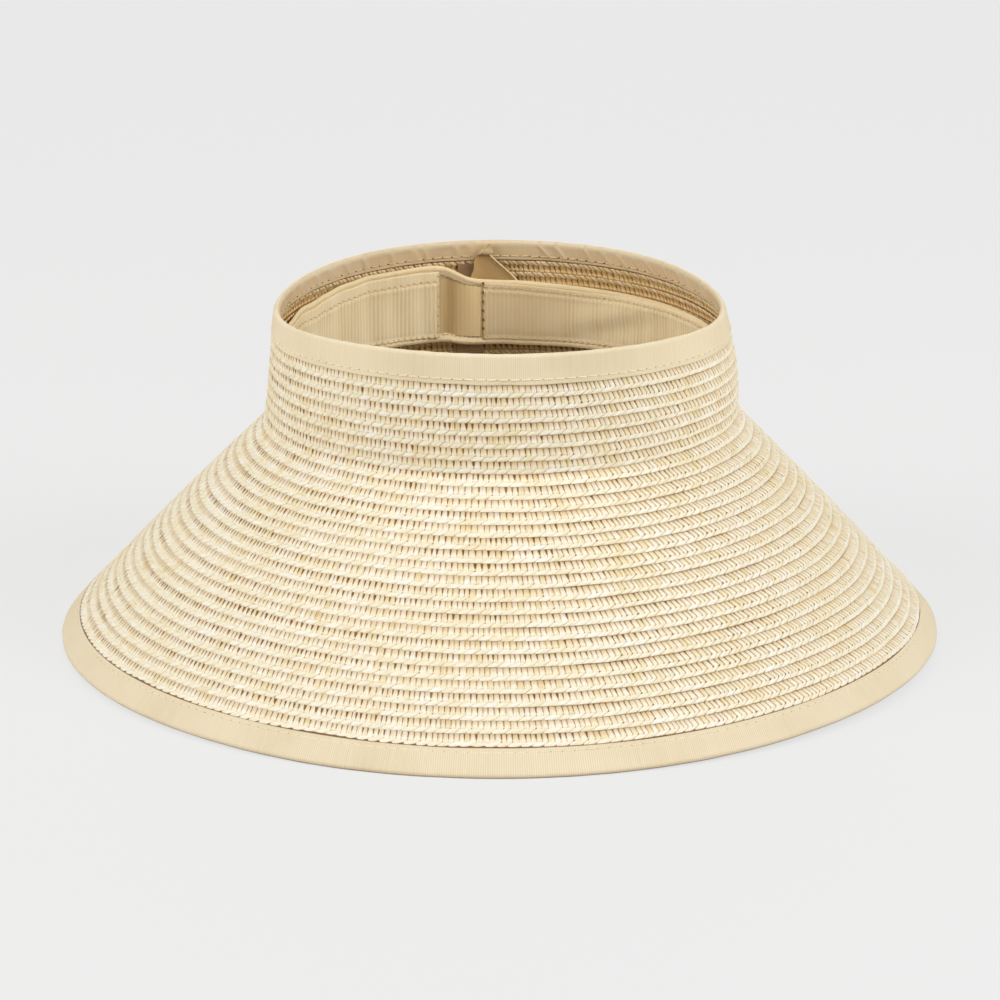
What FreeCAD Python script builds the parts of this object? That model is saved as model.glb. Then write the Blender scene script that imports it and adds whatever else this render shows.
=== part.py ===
import FreeCAD, Part
import math
import os
from FreeCAD import Vector

# A wide-brim sun visor with an open crown: sewn paper-straw braid, grosgrain
# bindings on the crown rim and the brim edge, a two-layer ribbon sweatband, and
# a size strap whose free end stands up behind the sweatband at centre back.
#
# Frame: millimetres, +Z up. The origin is the centre of the head opening, on the
# plane the brim rests on. The front faces -Y, the back +Y. Left is -X and right
# is +X, as seen by someone who looks at the front. Azimuths (degrees) are
# counted from centre back (+Y) towards +X.
# Cross-sections are lists of (radius, height) points.

os.makedirs("parts", exist_ok=True)

# ---------------------------------------------------------- shared dimensions
RIM_Z = 141.9            # top of the crown rim
HEAD_Z = 89.2            # head line, where the crown wall turns into the brim
CROWN_RIM_R = 92.15      # outer radius of the braid at the rim
CROWN_BASE_R = 96.55     # outer radius of the braid at the head line
BRAID_T = 1.5            # thickness of the sewn braid
LAP = 0.5                # each course stands proud of the next by this much
COURSE_STEP = 0.02       # length over which the surface steps back by LAP
HEAD_GAP = 0.03          # crown and brim braid each stop this far from the head line

BIND_T = 0.45            # grosgrain thickness
GAP = 0.1                # clearance between layers of cloth and braid
BIND_OUT = 12.1          # width of both bindings on the outside
EDGE_ROUND = BRAID_T / 2 + GAP + BIND_T    # outer radius of the bindings' fold

THREAD = 0.25            # radial thickness of the thread lines
THREAD_GAP = 0.02        # clearance between thread and cloth

AXIS = (Vector(0, 0, 0), Vector(0, 0, 1))


# -------------------------------------------------------------------- helpers
def polygon_face(points):
    return Part.Face(Part.makePolygon(points + [points[0]]))


def section_face(section):
    return polygon_face([Vector(r, 0, z) for r, z in section])


def ring(section):
    """A full ring with this cross-section."""
    return section_face(section).revolve(*AXIS, 360)


def sweep(face, start, end):
    """A face in the XZ plane, swept from azimuth start to azimuth end."""
    face.rotate(*AXIS, 90.0 - end)
    return face.revolve(*AXIS, end - start)


def sector(section, start, end):
    return sweep(section_face(section), start, end)


def rectangle(r_in, r_out, z0, z1):
    return [(r_in, z0), (r_out, z0), (r_out, z1), (r_in, z1)]


def sloped_strip(radius_at, inner, outer, z0, z1):
    """Section between two offsets from a leaning wall of radius radius_at(z)."""
    return [
        (radius_at(z0) + inner, z0),
        (radius_at(z0) + outer, z0),
        (radius_at(z1) + outer, z1),
        (radius_at(z1) + inner, z1),
    ]


def back_prism(outline):
    """An (x, z) outline extruded along Y, through everything behind the head."""
    return polygon_face([Vector(x, 60, z) for x, z in outline]).extrude(Vector(0, 60, 0))


def save(name, shape):
    if shape.ShapeType != "Solid" and len(shape.Solids) == 1:
        shape = shape.Solids[0]
    if not shape.isValid():
        raise ValueError(name + " is not a valid shape")
    shape.exportStep("parts/" + name + ".step")


# ---------------------------------------------------------------- crown braid
CROWN_COURSES = 8        # courses seen between the rim binding and the head line
LEAN = (CROWN_BASE_R - CROWN_RIM_R) / (RIM_Z - HEAD_Z)

BIND_Z = RIM_Z - BIND_OUT * math.cos(math.atan(LEAN))   # rim binding's outer lower edge
FOLD_Z = RIM_Z - EDGE_ROUND                             # centre of the rim fold


def crown_r(z):
    """Outer radius of the crown braid at height z."""
    return CROWN_BASE_R - LEAN * (z - HEAD_Z)


def crown_in(z):
    return crown_r(z) - BRAID_T


def crown_braid():
    """Plain under the binding; each course below it stands out at its lower edge."""
    section = [(crown_r(FOLD_Z), FOLD_Z), (crown_r(BIND_Z), BIND_Z)]
    for i in range(1, CROWN_COURSES):
        z = BIND_Z + (HEAD_Z - BIND_Z) * i / CROWN_COURSES
        section += [(crown_r(z) + LAP, z), (crown_r(z), z - COURSE_STEP)]
    z = HEAD_Z + HEAD_GAP
    section += [(crown_r(z) + LAP, z), (crown_in(z), z), (crown_in(FOLD_Z), FOLD_Z)]
    return ring(section)


save("crown_braid", crown_braid())

# ----------------------------------------------------------------- brim braid
BRIM_COURSES = 20        # courses seen between the head line and the brim binding
BRIM_BULGE = 1.0         # the brim bows outwards by this much at mid width
EDGE_R = 180.6           # centre of the rounded brim edge, at mid thickness
EDGE_Z = 1.0
BRAID_SETBACK = 1.0      # the braid stops this far short of the edge centre


def brim_line():
    """Length and direction (r, z) of the brim's outer surface from the head line.

    Its far end lies half a thickness outside the edge centre along the normal,
    which depends on the direction itself, so a few passes settle both.
    """
    normal_r, normal_z = 0.0, 0.0
    for _ in range(4):
        run = EDGE_R + BRAID_T / 2 * normal_r - CROWN_BASE_R
        rise = EDGE_Z + BRAID_T / 2 * normal_z - HEAD_Z
        length = math.hypot(run, rise)
        normal_r, normal_z = -rise / length, run / length
    return length, run / length, rise / length


BRIM_L, BRIM_DR, BRIM_DZ = brim_line()
BRIM_BIND = BRIM_L + EDGE_ROUND - BIND_OUT     # brim binding's upper edge, along the brim


def brim(along, offset):
    """Point at a distance down the brim and an offset along its outward normal."""
    u = min(max(along / BRIM_L, 0.0), 1.0)
    offset = offset + BRIM_BULGE * 4 * u * (1 - u)
    return (
        CROWN_BASE_R + BRIM_DR * along - BRIM_DZ * offset,
        HEAD_Z + BRIM_DZ * along + BRIM_DR * offset,
    )


def brim_braid():
    """Courses step down towards the edge; the underside is smooth."""
    top_z = HEAD_Z - HEAD_GAP
    section = [(CROWN_BASE_R, top_z)]
    for i in range(1, BRIM_COURSES):
        along = BRIM_BIND * i / BRIM_COURSES
        section += [brim(along, LAP), brim(along + COURSE_STEP, 0.0)]
    braid_end = BRIM_L - BRAID_SETBACK
    section += [brim(BRIM_BIND, 0.0), brim(braid_end, 0.0), brim(braid_end, -BRAID_T)]
    section += [brim(BRIM_L * k / 10.0, -BRAID_T) for k in range(9, -1, -1)]
    # carry the underside on up to the level cut below the head line
    under_r, under_z = section[-1]
    section.append((under_r + BRIM_DR * (top_z - under_z) / BRIM_DZ, top_z))
    return ring(section)


save("brim_braid", brim_braid())

# ------------------------------------------------------------------- bindings
BIND_IN = 8.4            # binding depth inside the crown rim
UNDER_W = 12.1           # binding width under the brim
BIND_IN_Z = RIM_Z - BIND_IN
BEND_STEPS = 10
LEG_STEPS = 4


def fold(place, end, first, last):
    """Cross-section of a ribbon folded over an edge: place(along, offset) -> (r, z).

    The ribbon's outer leg starts at first, turns round the edge at end and comes
    back to last. Offsets are from the braid's outer surface.
    """
    outer_face, outer_back = BIND_T + GAP, GAP
    inner_face, inner_back = -BRAID_T - GAP - BIND_T, -BRAID_T - GAP
    middle = (outer_face + inner_face) / 2

    def leg(start, stop, offset):
        return [
            place(start + (stop - start) * k / LEG_STEPS, offset)
            for k in range(LEG_STEPS + 1)
        ]

    def bend(radius):
        angles = [math.pi * k / BEND_STEPS for k in range(1, BEND_STEPS)]
        return [place(end + radius * math.sin(a), middle + radius * math.cos(a)) for a in angles]

    seen = leg(first, end, outer_face) + bend((outer_face - inner_face) / 2)
    seen += leg(end, last, inner_face)
    hidden = leg(last, end, inner_back) + bend((outer_back - inner_back) / 2)[::-1]
    hidden += leg(end, first, outer_back)
    return seen + hidden


def crown_place(z, offset):
    return (crown_r(z) + offset, z)


def brim_binding():
    binding = ring(fold(brim, BRIM_L, BRIM_BIND, BRIM_L + EDGE_ROUND - UNDER_W))
    # the folded edge is pressed flat where the brim rests
    return binding.cut(Part.makeBox(500, 500, 10, Vector(-250, -250, -10)))


save("rim_binding", ring(fold(crown_place, FOLD_Z, BIND_Z, BIND_IN_Z)))
save("brim_binding", brim_binding())

# --------------------------------------------------- edge wire and its sleeve
WIRE_R = 0.45
WIRE_SETBACK = 0.02
SLEEVE_GAP = 0.02        # wire surface to the sleeve's bore
SLEEVE_OUT = 0.2         # wire surface to the sleeve's outside
SLEEVE_START, SLEEVE_SPAN = 30.0, 5.2      # azimuth and angle
wire_ring_r, wire_z = brim(BRIM_L - WIRE_SETBACK, -BRAID_T / 2)


def wire_joint_sleeve():
    """A short bent tube round the wire."""

    def rod(radius):
        circle = Part.Circle(Vector(wire_ring_r, 0, wire_z), Vector(0, 1, 0), radius)
        face = Part.Face(Part.Wire(circle.toShape()))
        return sweep(face, SLEEVE_START, SLEEVE_START + SLEEVE_SPAN)

    return rod(WIRE_R + SLEEVE_OUT).cut(rod(WIRE_R + SLEEVE_GAP))


save("brim_edge_wire", Part.makeTorus(wire_ring_r, WIRE_R, Vector(0, 0, wire_z), AXIS[1]))
save("wire_joint_sleeve", wire_joint_sleeve())

# ------------------------------------------------------------------ sweatband
# The band stands higher at the left of centre back than at the right, and the
# elastic insert between the two seams carries the step. Each edge is a tilted
# plane through the band's cylinder: height = level + slope_x * x + slope_y * y.
RIBBON_R = 89.0          # inner radius of the sweatband: a head of 56 cm round
RIBBON_T = 0.6
BACKING_R = RIBBON_R + RIBBON_T + GAP
BACKING_T = 0.6
BACKING_OUT = BACKING_R + BACKING_T
EDGE_PLANE_R = 89.5      # radius at which the edge heights are given
PANEL_A, PANEL_B = -17.3, -5.0   # azimuths of the insert's left and right seams
SEAM_GAP = 0.15          # degrees left clear on each side of a seam


def edge_plane(stations):
    """(level, slope_x, slope_y) of the plane through three (azimuth, height) stations."""
    p0, p1, p2 = [
        Vector(
            EDGE_PLANE_R * math.sin(math.radians(azimuth)),
            EDGE_PLANE_R * math.cos(math.radians(azimuth)),
            z,
        )
        for azimuth, z in stations
    ]
    normal = (p1 - p0).cross(p2 - p0)
    slope_x, slope_y = -normal.x / normal.z, -normal.y / normal.z
    return (p0.z - slope_x * p0.x - slope_y * p0.y, slope_x, slope_y)


def raised(plane, height):
    level, slope_x, slope_y = plane
    return (level + height, slope_x, slope_y)


def height_at(plane, azimuth):
    level, slope_x, slope_y = plane
    angle = math.radians(azimuth)
    x, y = EDGE_PLANE_R * math.sin(angle), EDGE_PLANE_R * math.cos(angle)
    return level + slope_x * x + slope_y * y


def block_beyond(plane, height):
    """A big block from a tilted plane, upwards or (negative height) downwards."""
    level, slope_x, slope_y = plane
    corners = ((-150, -150), (150, -150), (150, 150), (-150, 150))
    points = [Vector(x, y, level + slope_x * x + slope_y * y) for x, y in corners]
    return polygon_face(points).extrude(Vector(0, 0, height))


def band_slice(r_in, r_out, start, end, bottom, top):
    """Part of a true cylinder wall between two azimuths and two tilted planes."""
    wall = sector(rectangle(r_in, r_out, 70.0, 150.0), start, end)
    wall = wall.cut(block_beyond(top, 90))
    return wall.cut(block_beyond(bottom, -90)).Solids[0]


def band_halves(r_in, r_out, bottoms, tops, front=180.0):
    """Left and right slices from the insert's seams to azimuths -front and front.

    bottoms and tops are (left, right) pairs of planes.
    """
    return (
        band_slice(r_in, r_out, -front, PANEL_A - SEAM_GAP, bottoms[0], tops[0]),
        band_slice(r_in, r_out, PANEL_B + SEAM_GAP, front, bottoms[1], tops[1]),
    )


# stations are (azimuth, height); azimuth 180 is centre front
LEFT_TOP = edge_plane([(-20.0, 132.0), (-74.0, 124.3), (180.0, 122.0)])
RIGHT_TOP = edge_plane([(-3.0, 124.7), (67.0, 122.4), (180.0, 122.0)])
LEFT_BOTTOM = edge_plane([(-20.0, 98.1), (-74.0, 97.3), (180.0, 96.6)])
RIGHT_BOTTOM = edge_plane([(-3.0, 96.4), (67.0, 96.5), (180.0, 96.6)])


def step_plane(left, right, far_z):
    """Joins two edges across the insert; far_z is its height opposite the left seam."""
    return edge_plane([
        (PANEL_A, height_at(left, PANEL_A)),
        (PANEL_B, height_at(right, PANEL_B)),
        (PANEL_A + 180.0, far_z),
    ])


STEP_TOP = step_plane(LEFT_TOP, RIGHT_TOP, 145.0)
STEP_BOTTOM = step_plane(LEFT_BOTTOM, RIGHT_BOTTOM, 99.0)

# the ribbon's edges lie inside the backing's, above its bottom and below its top
RIBBON_LIFT = 1.2
RIBBON_DROP_L, RIBBON_DROP_R = 2.6, 1.2
RIBBON_BOTTOMS = (raised(LEFT_BOTTOM, RIBBON_LIFT), raised(RIGHT_BOTTOM, RIBBON_LIFT))
RIBBON_TOPS = (raised(LEFT_TOP, -RIBBON_DROP_L), raised(RIGHT_TOP, -RIBBON_DROP_R))


def sweatband_backing():
    """The smooth backing is one closed ring."""
    spans = (
        (-180.0, PANEL_A, LEFT_BOTTOM, LEFT_TOP),
        (PANEL_A, PANEL_B, STEP_BOTTOM, STEP_TOP),
        (PANEL_B, 180.0, RIGHT_BOTTOM, RIGHT_TOP),
    )
    left, step, right = [band_slice(BACKING_R, BACKING_OUT, *span) for span in spans]
    return left.fuse(step).fuse(right).removeSplitter()


def sweatband_ribbon():
    """Runs from the right-hand seam round the front to the left-hand seam."""
    left, right = band_halves(RIBBON_R, RIBBON_R + RIBBON_T, RIBBON_BOTTOMS, RIBBON_TOPS)
    return left.fuse(right).removeSplitter()


PANEL_SET_IN = 0.15      # the insert's face lies this far behind the ribbon's
PANEL_T = 0.4
PANEL_LIFT = RIBBON_LIFT + 0.5
PANEL_DROP = 2.6


def sweatband_elastic_panel():
    face_r = RIBBON_R + PANEL_SET_IN
    return band_slice(
        face_r, face_r + PANEL_T, PANEL_A + SEAM_GAP, PANEL_B - SEAM_GAP,
        raised(STEP_BOTTOM, PANEL_LIFT), raised(STEP_TOP, -PANEL_DROP),
    )


save("sweatband_backing", sweatband_backing())
save("sweatband_ribbon", sweatband_ribbon())
save("sweatband_elastic_panel", sweatband_elastic_panel())

# ------------------------------------------- thread on the sweatband's face
THREAD_OUT = RIBBON_R - THREAD_GAP
THREAD_IN = THREAD_OUT - THREAD
BAND_STITCH_H = 0.4
DASHES = 10              # stitches in each seam column
DASH_FILL = 0.6          # share of the pitch that a stitch takes up
DASH_HALF = 0.15         # half width of a stitch, degrees
SEAM_SET = 0.75          # degrees from each seam to its column, away from centre
SEAM_LIFT = 3.6          # column's foot above the backing's bottom edge


def thread_line(edges, shift):
    """A line at a height above the two given edges, open at centre front."""
    bottoms = [raised(edge, shift) for edge in edges]
    tops = [raised(edge, BAND_STITCH_H) for edge in bottoms]
    return Part.Compound(list(band_halves(THREAD_IN, THREAD_OUT, bottoms, tops, 179.9)))


def stitch_column(azimuth, z0, z1):
    pitch = (z1 - z0) / DASHES
    dashes = []
    for k in range(DASHES):
        z = z0 + pitch * k
        section = rectangle(THREAD_IN, THREAD_OUT, z, z + pitch * DASH_FILL)
        dashes.append(sector(section, azimuth - DASH_HALF, azimuth + DASH_HALF))
    return Part.Compound(dashes)


save("sweatband_stitch_top", thread_line(RIBBON_TOPS, -1.8))
save("sweatband_stitch_bottom", thread_line(RIBBON_BOTTOMS, 1.4))

# side, seam azimuth, column's offset from it, band edges, column's top below the edge
for side, seam, offset, bottom, top, drop in (
    ("left", PANEL_A, -SEAM_SET, LEFT_BOTTOM, LEFT_TOP, 5.4),
    ("right", PANEL_B, SEAM_SET, RIGHT_BOTTOM, RIGHT_TOP, 4.4),
):
    z0 = height_at(bottom, seam) + SEAM_LIFT
    z1 = height_at(top, seam) - drop
    save("panel_stitch_" + side, stitch_column(seam + offset, z0, z1))

# --------------------------- thread tacks that hold the band to the crown wall
TACK_AZIMUTHS = (-160, -115, -70, -28, 25, 70, 115, 160)
TACK_Z0, TACK_Z1 = 98.9, 99.4
TACK_HALF = 0.2          # half width, degrees
TACK_WALL_GAP = 0.03


def sweatband_tacks():
    section = [
        (BACKING_OUT + THREAD_GAP, TACK_Z0),
        (crown_in(TACK_Z0) - TACK_WALL_GAP, TACK_Z0),
        (crown_in(TACK_Z1) - TACK_WALL_GAP, TACK_Z1),
        (BACKING_OUT + THREAD_GAP, TACK_Z1),
    ]
    return Part.Compound([sector(section, a - TACK_HALF, a + TACK_HALF) for a in TACK_AZIMUTHS])


save("sweatband_tacks", sweatband_tacks())

# --------------------------------- ribbon tape and patch inside the crown wall
PATCH_GAP = 0.05


def wall_patch(z0, z1, start, end, thickness):
    section = sloped_strip(crown_in, -PATCH_GAP - thickness, -PATCH_GAP, z0, z1)
    return sector(section, start, end)


save("back_seam_tape", wall_patch(90.3, 132.9, start=-11.6, end=-4.6, thickness=0.45))
save("strap_loop_patch", wall_patch(102.0, 119.0, start=-2.0, end=14.0, thickness=0.4))

# ------------------------------------------------------------- the size strap
STRAP_R = 90.55
STRAP_OUT = STRAP_R + 0.7
STRAP_Z0, STRAP_Z1 = 100.5, 122.0
STRAP_A, STRAP_B = -60.0, 5.5
NECK_OUTLINE = [(-12.6, 121.0), (8.4, 121.0), (7.2, 126.1), (-11.5, 126.1)]   # (x, z)


def adjuster_strap():
    """The strap, with the neck that turns up behind the band towards its free end."""
    strap = sector(rectangle(STRAP_R, STRAP_OUT, STRAP_Z0, STRAP_Z1), STRAP_A, STRAP_B)
    shell = sector(rectangle(STRAP_R, STRAP_OUT, 121.0, 126.2), -70, 40)
    return strap.fuse(shell.common(back_prism(NECK_OUTLINE))).removeSplitter()


save("adjuster_strap", adjuster_strap())
save(
    "strap_hook_patch",
    sector(rectangle(STRAP_OUT + 0.02, STRAP_OUT + 0.35, 102.5, 119.5), -3.5, 4.5),
)

# -------------------------------------------------------- the strap's free end
TAB_Z0, TAB_Z1 = 126.9, 141.0
TAB_R0, TAB_R1 = 90.15, 89.15          # inner radius at its foot and at its tip
TAB_T = 0.6
# (x, z) outlines of the tab and of the stitched hem along its sloping right edge
TAB_OUTLINE = [
    (-11.4, TAB_Z0), (-10.5, 130.4), (-4.9, TAB_Z1), (-2.2, 138.6), (-1.1, 135.3), (6.5, TAB_Z0),
]
HEM_OUTLINE = [(-2.6, 134.6), (-2.1, 135.1), (4.9, 127.4), (4.3, 127.4)]


def tab_r(z):
    return TAB_R0 + (TAB_R1 - TAB_R0) * (z - TAB_Z0) / (TAB_Z1 - TAB_Z0)


def tab_piece(inner, outer, outline):
    """The outline cut from a leaning shell between two offsets from the tab's inner face."""
    shell = sector(sloped_strip(tab_r, inner, outer, TAB_Z0 - 1, TAB_Z1 + 1), -12, 8)
    return shell.common(back_prism(outline))


save("pull_tab", tab_piece(0.0, TAB_T, TAB_OUTLINE))
save("pull_tab_stitch", tab_piece(-THREAD_GAP - THREAD, -THREAD_GAP, HEM_OUTLINE))

# ------------------------------------------------ thread lines on the bindings
STITCH_SET = 1.6         # distance from the binding's edge
STITCH_W = 0.35
STITCH_OFF = BIND_T + GAP + THREAD_GAP     # from the braid's surface


def rim_stitch_outer():
    z = BIND_Z + STITCH_SET
    r_in = crown_r(z) + STITCH_OFF
    return ring(rectangle(r_in, r_in + THREAD, z, z + STITCH_W))


def rim_stitch_inner():
    z = BIND_IN_Z + STITCH_SET
    r_out = crown_in(z + STITCH_W) - STITCH_OFF
    return ring(rectangle(r_out - THREAD, r_out, z, z + STITCH_W))


def brim_stitch(near, far):
    """A line between two offsets from the brim's outer surface."""
    start = BRIM_BIND + STITCH_SET
    end = start + STITCH_W
    return ring([brim(start, near), brim(start, far), brim(end, far), brim(end, near)])


save("rim_binding_stitch_outer", rim_stitch_outer())
save("rim_binding_stitch_inner", rim_stitch_inner())
save("brim_binding_stitch_top", brim_stitch(STITCH_OFF, STITCH_OFF + THREAD))
under = -BRAID_T - STITCH_OFF
save("brim_binding_stitch_under", brim_stitch(under, under - THREAD))
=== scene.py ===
# A straw visor: an open crown and a wide brim of coiled braid, ribbon over both edges,
# a wire in the brim's edge, a sweatband inside, and a strap with a pull tab at the back.
# +Z is up, the front faces -Y, +X is right seen from the front, the floor is z = 0.
# Lengths are in mm up to mesh_object; the floor, lights and camera are in metres.
import bpy
import math
import numpy as np
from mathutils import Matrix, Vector


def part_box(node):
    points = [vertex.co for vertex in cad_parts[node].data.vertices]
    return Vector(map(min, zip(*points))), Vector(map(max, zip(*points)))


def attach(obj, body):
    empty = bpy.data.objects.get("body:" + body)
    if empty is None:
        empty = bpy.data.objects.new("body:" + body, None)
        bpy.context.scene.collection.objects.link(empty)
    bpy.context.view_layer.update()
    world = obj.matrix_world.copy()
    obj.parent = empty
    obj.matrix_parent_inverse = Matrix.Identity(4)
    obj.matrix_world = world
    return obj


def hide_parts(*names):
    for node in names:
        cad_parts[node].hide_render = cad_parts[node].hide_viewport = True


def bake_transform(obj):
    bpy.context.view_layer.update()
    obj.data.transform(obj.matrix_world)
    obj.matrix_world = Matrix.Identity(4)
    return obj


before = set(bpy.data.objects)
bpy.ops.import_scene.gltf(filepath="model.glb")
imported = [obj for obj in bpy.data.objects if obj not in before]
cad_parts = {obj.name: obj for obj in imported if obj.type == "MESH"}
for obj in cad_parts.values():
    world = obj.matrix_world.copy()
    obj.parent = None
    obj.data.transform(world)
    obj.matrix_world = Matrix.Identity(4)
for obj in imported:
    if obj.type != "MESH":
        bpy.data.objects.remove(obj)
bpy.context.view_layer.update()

MM = 0.001
TURN = 2 * math.pi


def box_mm(node):
    low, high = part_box(node)
    return np.array(low) * 1000, np.array(high) * 1000


# ------------------------------------------------------------------ main sizes
rim_low, rim_high = box_mm("rim_binding")
crown_low, crown_high = box_mm("crown_braid")
edge_low, edge_high = box_mm("brim_binding")

BINDING_THICK = 0.45
BINDING_GAP = 0.10            # between binding and braid
BRAID_THICK = 1.5
FOLD_RADIUS = 1.3
OUTER_FACE = BINDING_THICK + BINDING_GAP
INNER_FACE = -BRAID_THICK - BINDING_GAP - BINDING_THICK

RIM_Z = rim_high[2]
BINDING_Z = rim_low[2]        # lower edge of the rim binding, outside
BINDING_IN_Z = RIM_Z - 8.4    # and inside
FOLD_Z = RIM_Z - FOLD_RADIUS
HEAD_Z = crown_low[2] - 0.03  # head line, where crown and brim meet
BASE_R = crown_high[0] - 0.5
LEAN = (BASE_R - (rim_high[0] - BINDING_THICK - BINDING_GAP)) / (BINDING_Z - HEAD_Z)
LEAN_ANGLE = math.atan(LEAN)
CROWN_LENGTH = (BINDING_Z - HEAD_Z) / math.cos(LEAN_ANGLE)
EDGE_R = edge_high[0] - FOLD_RADIUS
EDGE_Z = edge_low[2] + 1.0
BRIM_BULGE = 1.0

# the brim's slope, with its end raised by half the braid along its own normal
normal_r = normal_z = 0.0
for _ in range(4):
    run = EDGE_R + BRAID_THICK / 2 * normal_r - BASE_R
    rise = EDGE_Z + BRAID_THICK / 2 * normal_z - HEAD_Z
    BRIM_LENGTH = math.hypot(run, rise)
    normal_r, normal_z = -rise / BRIM_LENGTH, run / BRIM_LENGTH
BRIM_RUN, BRIM_RISE = normal_z, -normal_r
BRIM_BINDING_S = BRIM_LENGTH + FOLD_RADIUS - 12.1  # where the brim braid ends


# ------------------------------------------------------------ noise and curves
def catmull(values, part):
    """Catmull-Rom curve between the middle two of four values."""
    before, start, end, after = values
    return 0.5 * (
        2 * start
        + (end - before) * part
        + (2 * before - 5 * start + 4 * end - after) * part**2
        + (3 * start - before - 3 * end + after) * part**3
    )


def wave(angle, knots, seed):
    """Smooth periodic noise of angle, about -1 to 1."""
    values = np.random.RandomState(seed).uniform(-1, 1, knots)
    place = (np.asarray(angle) / TURN % 1.0) * knots
    cell = np.floor(place).astype(int)
    return catmull([values[(cell + k) % knots] for k in (-1, 0, 1, 2)], place - cell)


def field(u, v, seed, cells_u=64, cells_v=64):
    """Smooth 2-D noise, periodic over cells_u by cells_v."""
    values = np.random.RandomState(seed).uniform(-1, 1, (cells_u, cells_v))
    cell_u = np.floor(u).astype(int)
    cell_v = np.floor(v).astype(int)
    steps = (-1, 0, 1, 2)
    lines = []
    for i in steps:
        line = [values[(cell_u + i) % cells_u, (cell_v + j) % cells_v] for j in steps]
        lines.append(catmull(line, v - cell_v))
    return catmull(lines, u - cell_u)


def smooth(x, start, end):
    part = np.clip((np.asarray(x, float) - start) / (end - start), 0, 1)
    return part * part * (3 - 2 * part)


def bump(x, centre, width):
    return np.exp(-((np.asarray(x, float) - centre) / width) ** 2)


def through(*stations):
    """A smooth curve through (place, value) stations, level beyond both ends."""
    places, values = np.array(stations, float).T
    last = len(places) - 1

    def value_at(x):
        x = np.asarray(x, float)
        i = np.clip(np.searchsorted(places, x) - 1, 0, last - 1)
        before, after = np.maximum(i - 1, 0), np.minimum(i + 2, last)
        step = places[i + 1] - places[i]
        part = np.clip((x - places[i]) / step, 0, 1)
        slope_in = (values[i + 1] - values[before]) / (places[i + 1] - places[before]) * step
        slope_out = (values[after] - values[i]) / (places[after] - places[i]) * step
        return (
            (2 * part**3 - 3 * part**2 + 1) * values[i]
            + (part**3 - 2 * part**2 + part) * slope_in
            + (-2 * part**3 + 3 * part**2) * values[i + 1]
            + (part**3 - part**2) * slope_out
        )

    return value_at


def wrap_degrees(degrees):
    return (np.asarray(degrees, float) + 180.0) % 360.0 - 180.0


def around(angle, at, width):
    """A smooth hump round the direction `at` (degrees from +X towards +Y)."""
    return bump(wrap_degrees(np.degrees(angle) - at), 0, width)


def polar(radius, angle, z):
    parts = np.broadcast_arrays(radius * np.cos(angle), radius * np.sin(angle), z)
    return np.stack(parts, -1)


# ------------------------------------------------------- the wall's outline
def wall_outline():
    """Distance along the outside of the braid, with radius, height and heading there.

    Distance is negative up the crown, 0 at the head line and positive down the brim.
    """
    step = 0.1
    soft_turn = 9.0   # length of the turn at the head line
    anchor = 20.0     # the crown is fixed this far above the head line
    blend = 6.0       # the brim's correction starts this far above the head line
    along = np.arange(-64.0, 134.0, step)
    crown_heading = math.atan2(-math.cos(LEAN_ANGLE), math.sin(LEAN_ANGLE))
    brim_heading = math.atan2(BRIM_RISE, BRIM_RUN)
    turned = np.clip((along + soft_turn / 2) / soft_turn, 0, 1)
    heading = crown_heading + (brim_heading - crown_heading) * turned
    radius = np.concatenate([[0], np.cumsum(np.cos(heading[:-1]) * step)])
    height = np.concatenate([[0], np.cumsum(np.sin(heading[:-1]) * step)])
    i = int(np.argmin(abs(along + anchor)))
    anchor_rise = anchor * math.cos(LEAN_ANGLE)
    radius += BASE_R - LEAN * anchor_rise - radius[i]
    height += HEAD_Z + anchor_rise - height[i]
    # meet the brim's end exactly
    i = int(np.argmin(abs(along - BRIM_LENGTH)))
    miss_r = BASE_R + BRIM_RUN * BRIM_LENGTH - radius[i]
    miss_z = HEAD_Z + BRIM_RISE * BRIM_LENGTH - height[i]
    share = np.clip((along + blend) / (BRIM_LENGTH + blend), 0, None)
    radius += miss_r * share
    height += miss_z * share
    heading = np.arctan2(np.gradient(height, along), np.gradient(radius, along))
    share = np.clip(along / BRIM_LENGTH, 0, 1)
    bulge = BRIM_BULGE * 4 * share * (1 - share)
    radius -= np.sin(heading) * bulge
    height += np.cos(heading) * bulge
    heading = np.arctan2(np.gradient(height, along), np.gradient(radius, along))
    return along, radius, height, heading


WALL_ALONG, *WALL_LINES = wall_outline()


def wall(along, offset):
    """Radius and height at a distance along the wall and an offset outwards from it."""
    radius, z, heading = [np.interp(along, WALL_ALONG, line) for line in WALL_LINES]
    return radius - np.sin(heading) * offset, z + np.cos(heading) * offset


def crown_radius(z):
    return BASE_R - LEAN * (z - HEAD_Z)


def crown_wall(z, offset):
    return crown_radius(z) + offset, z


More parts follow.
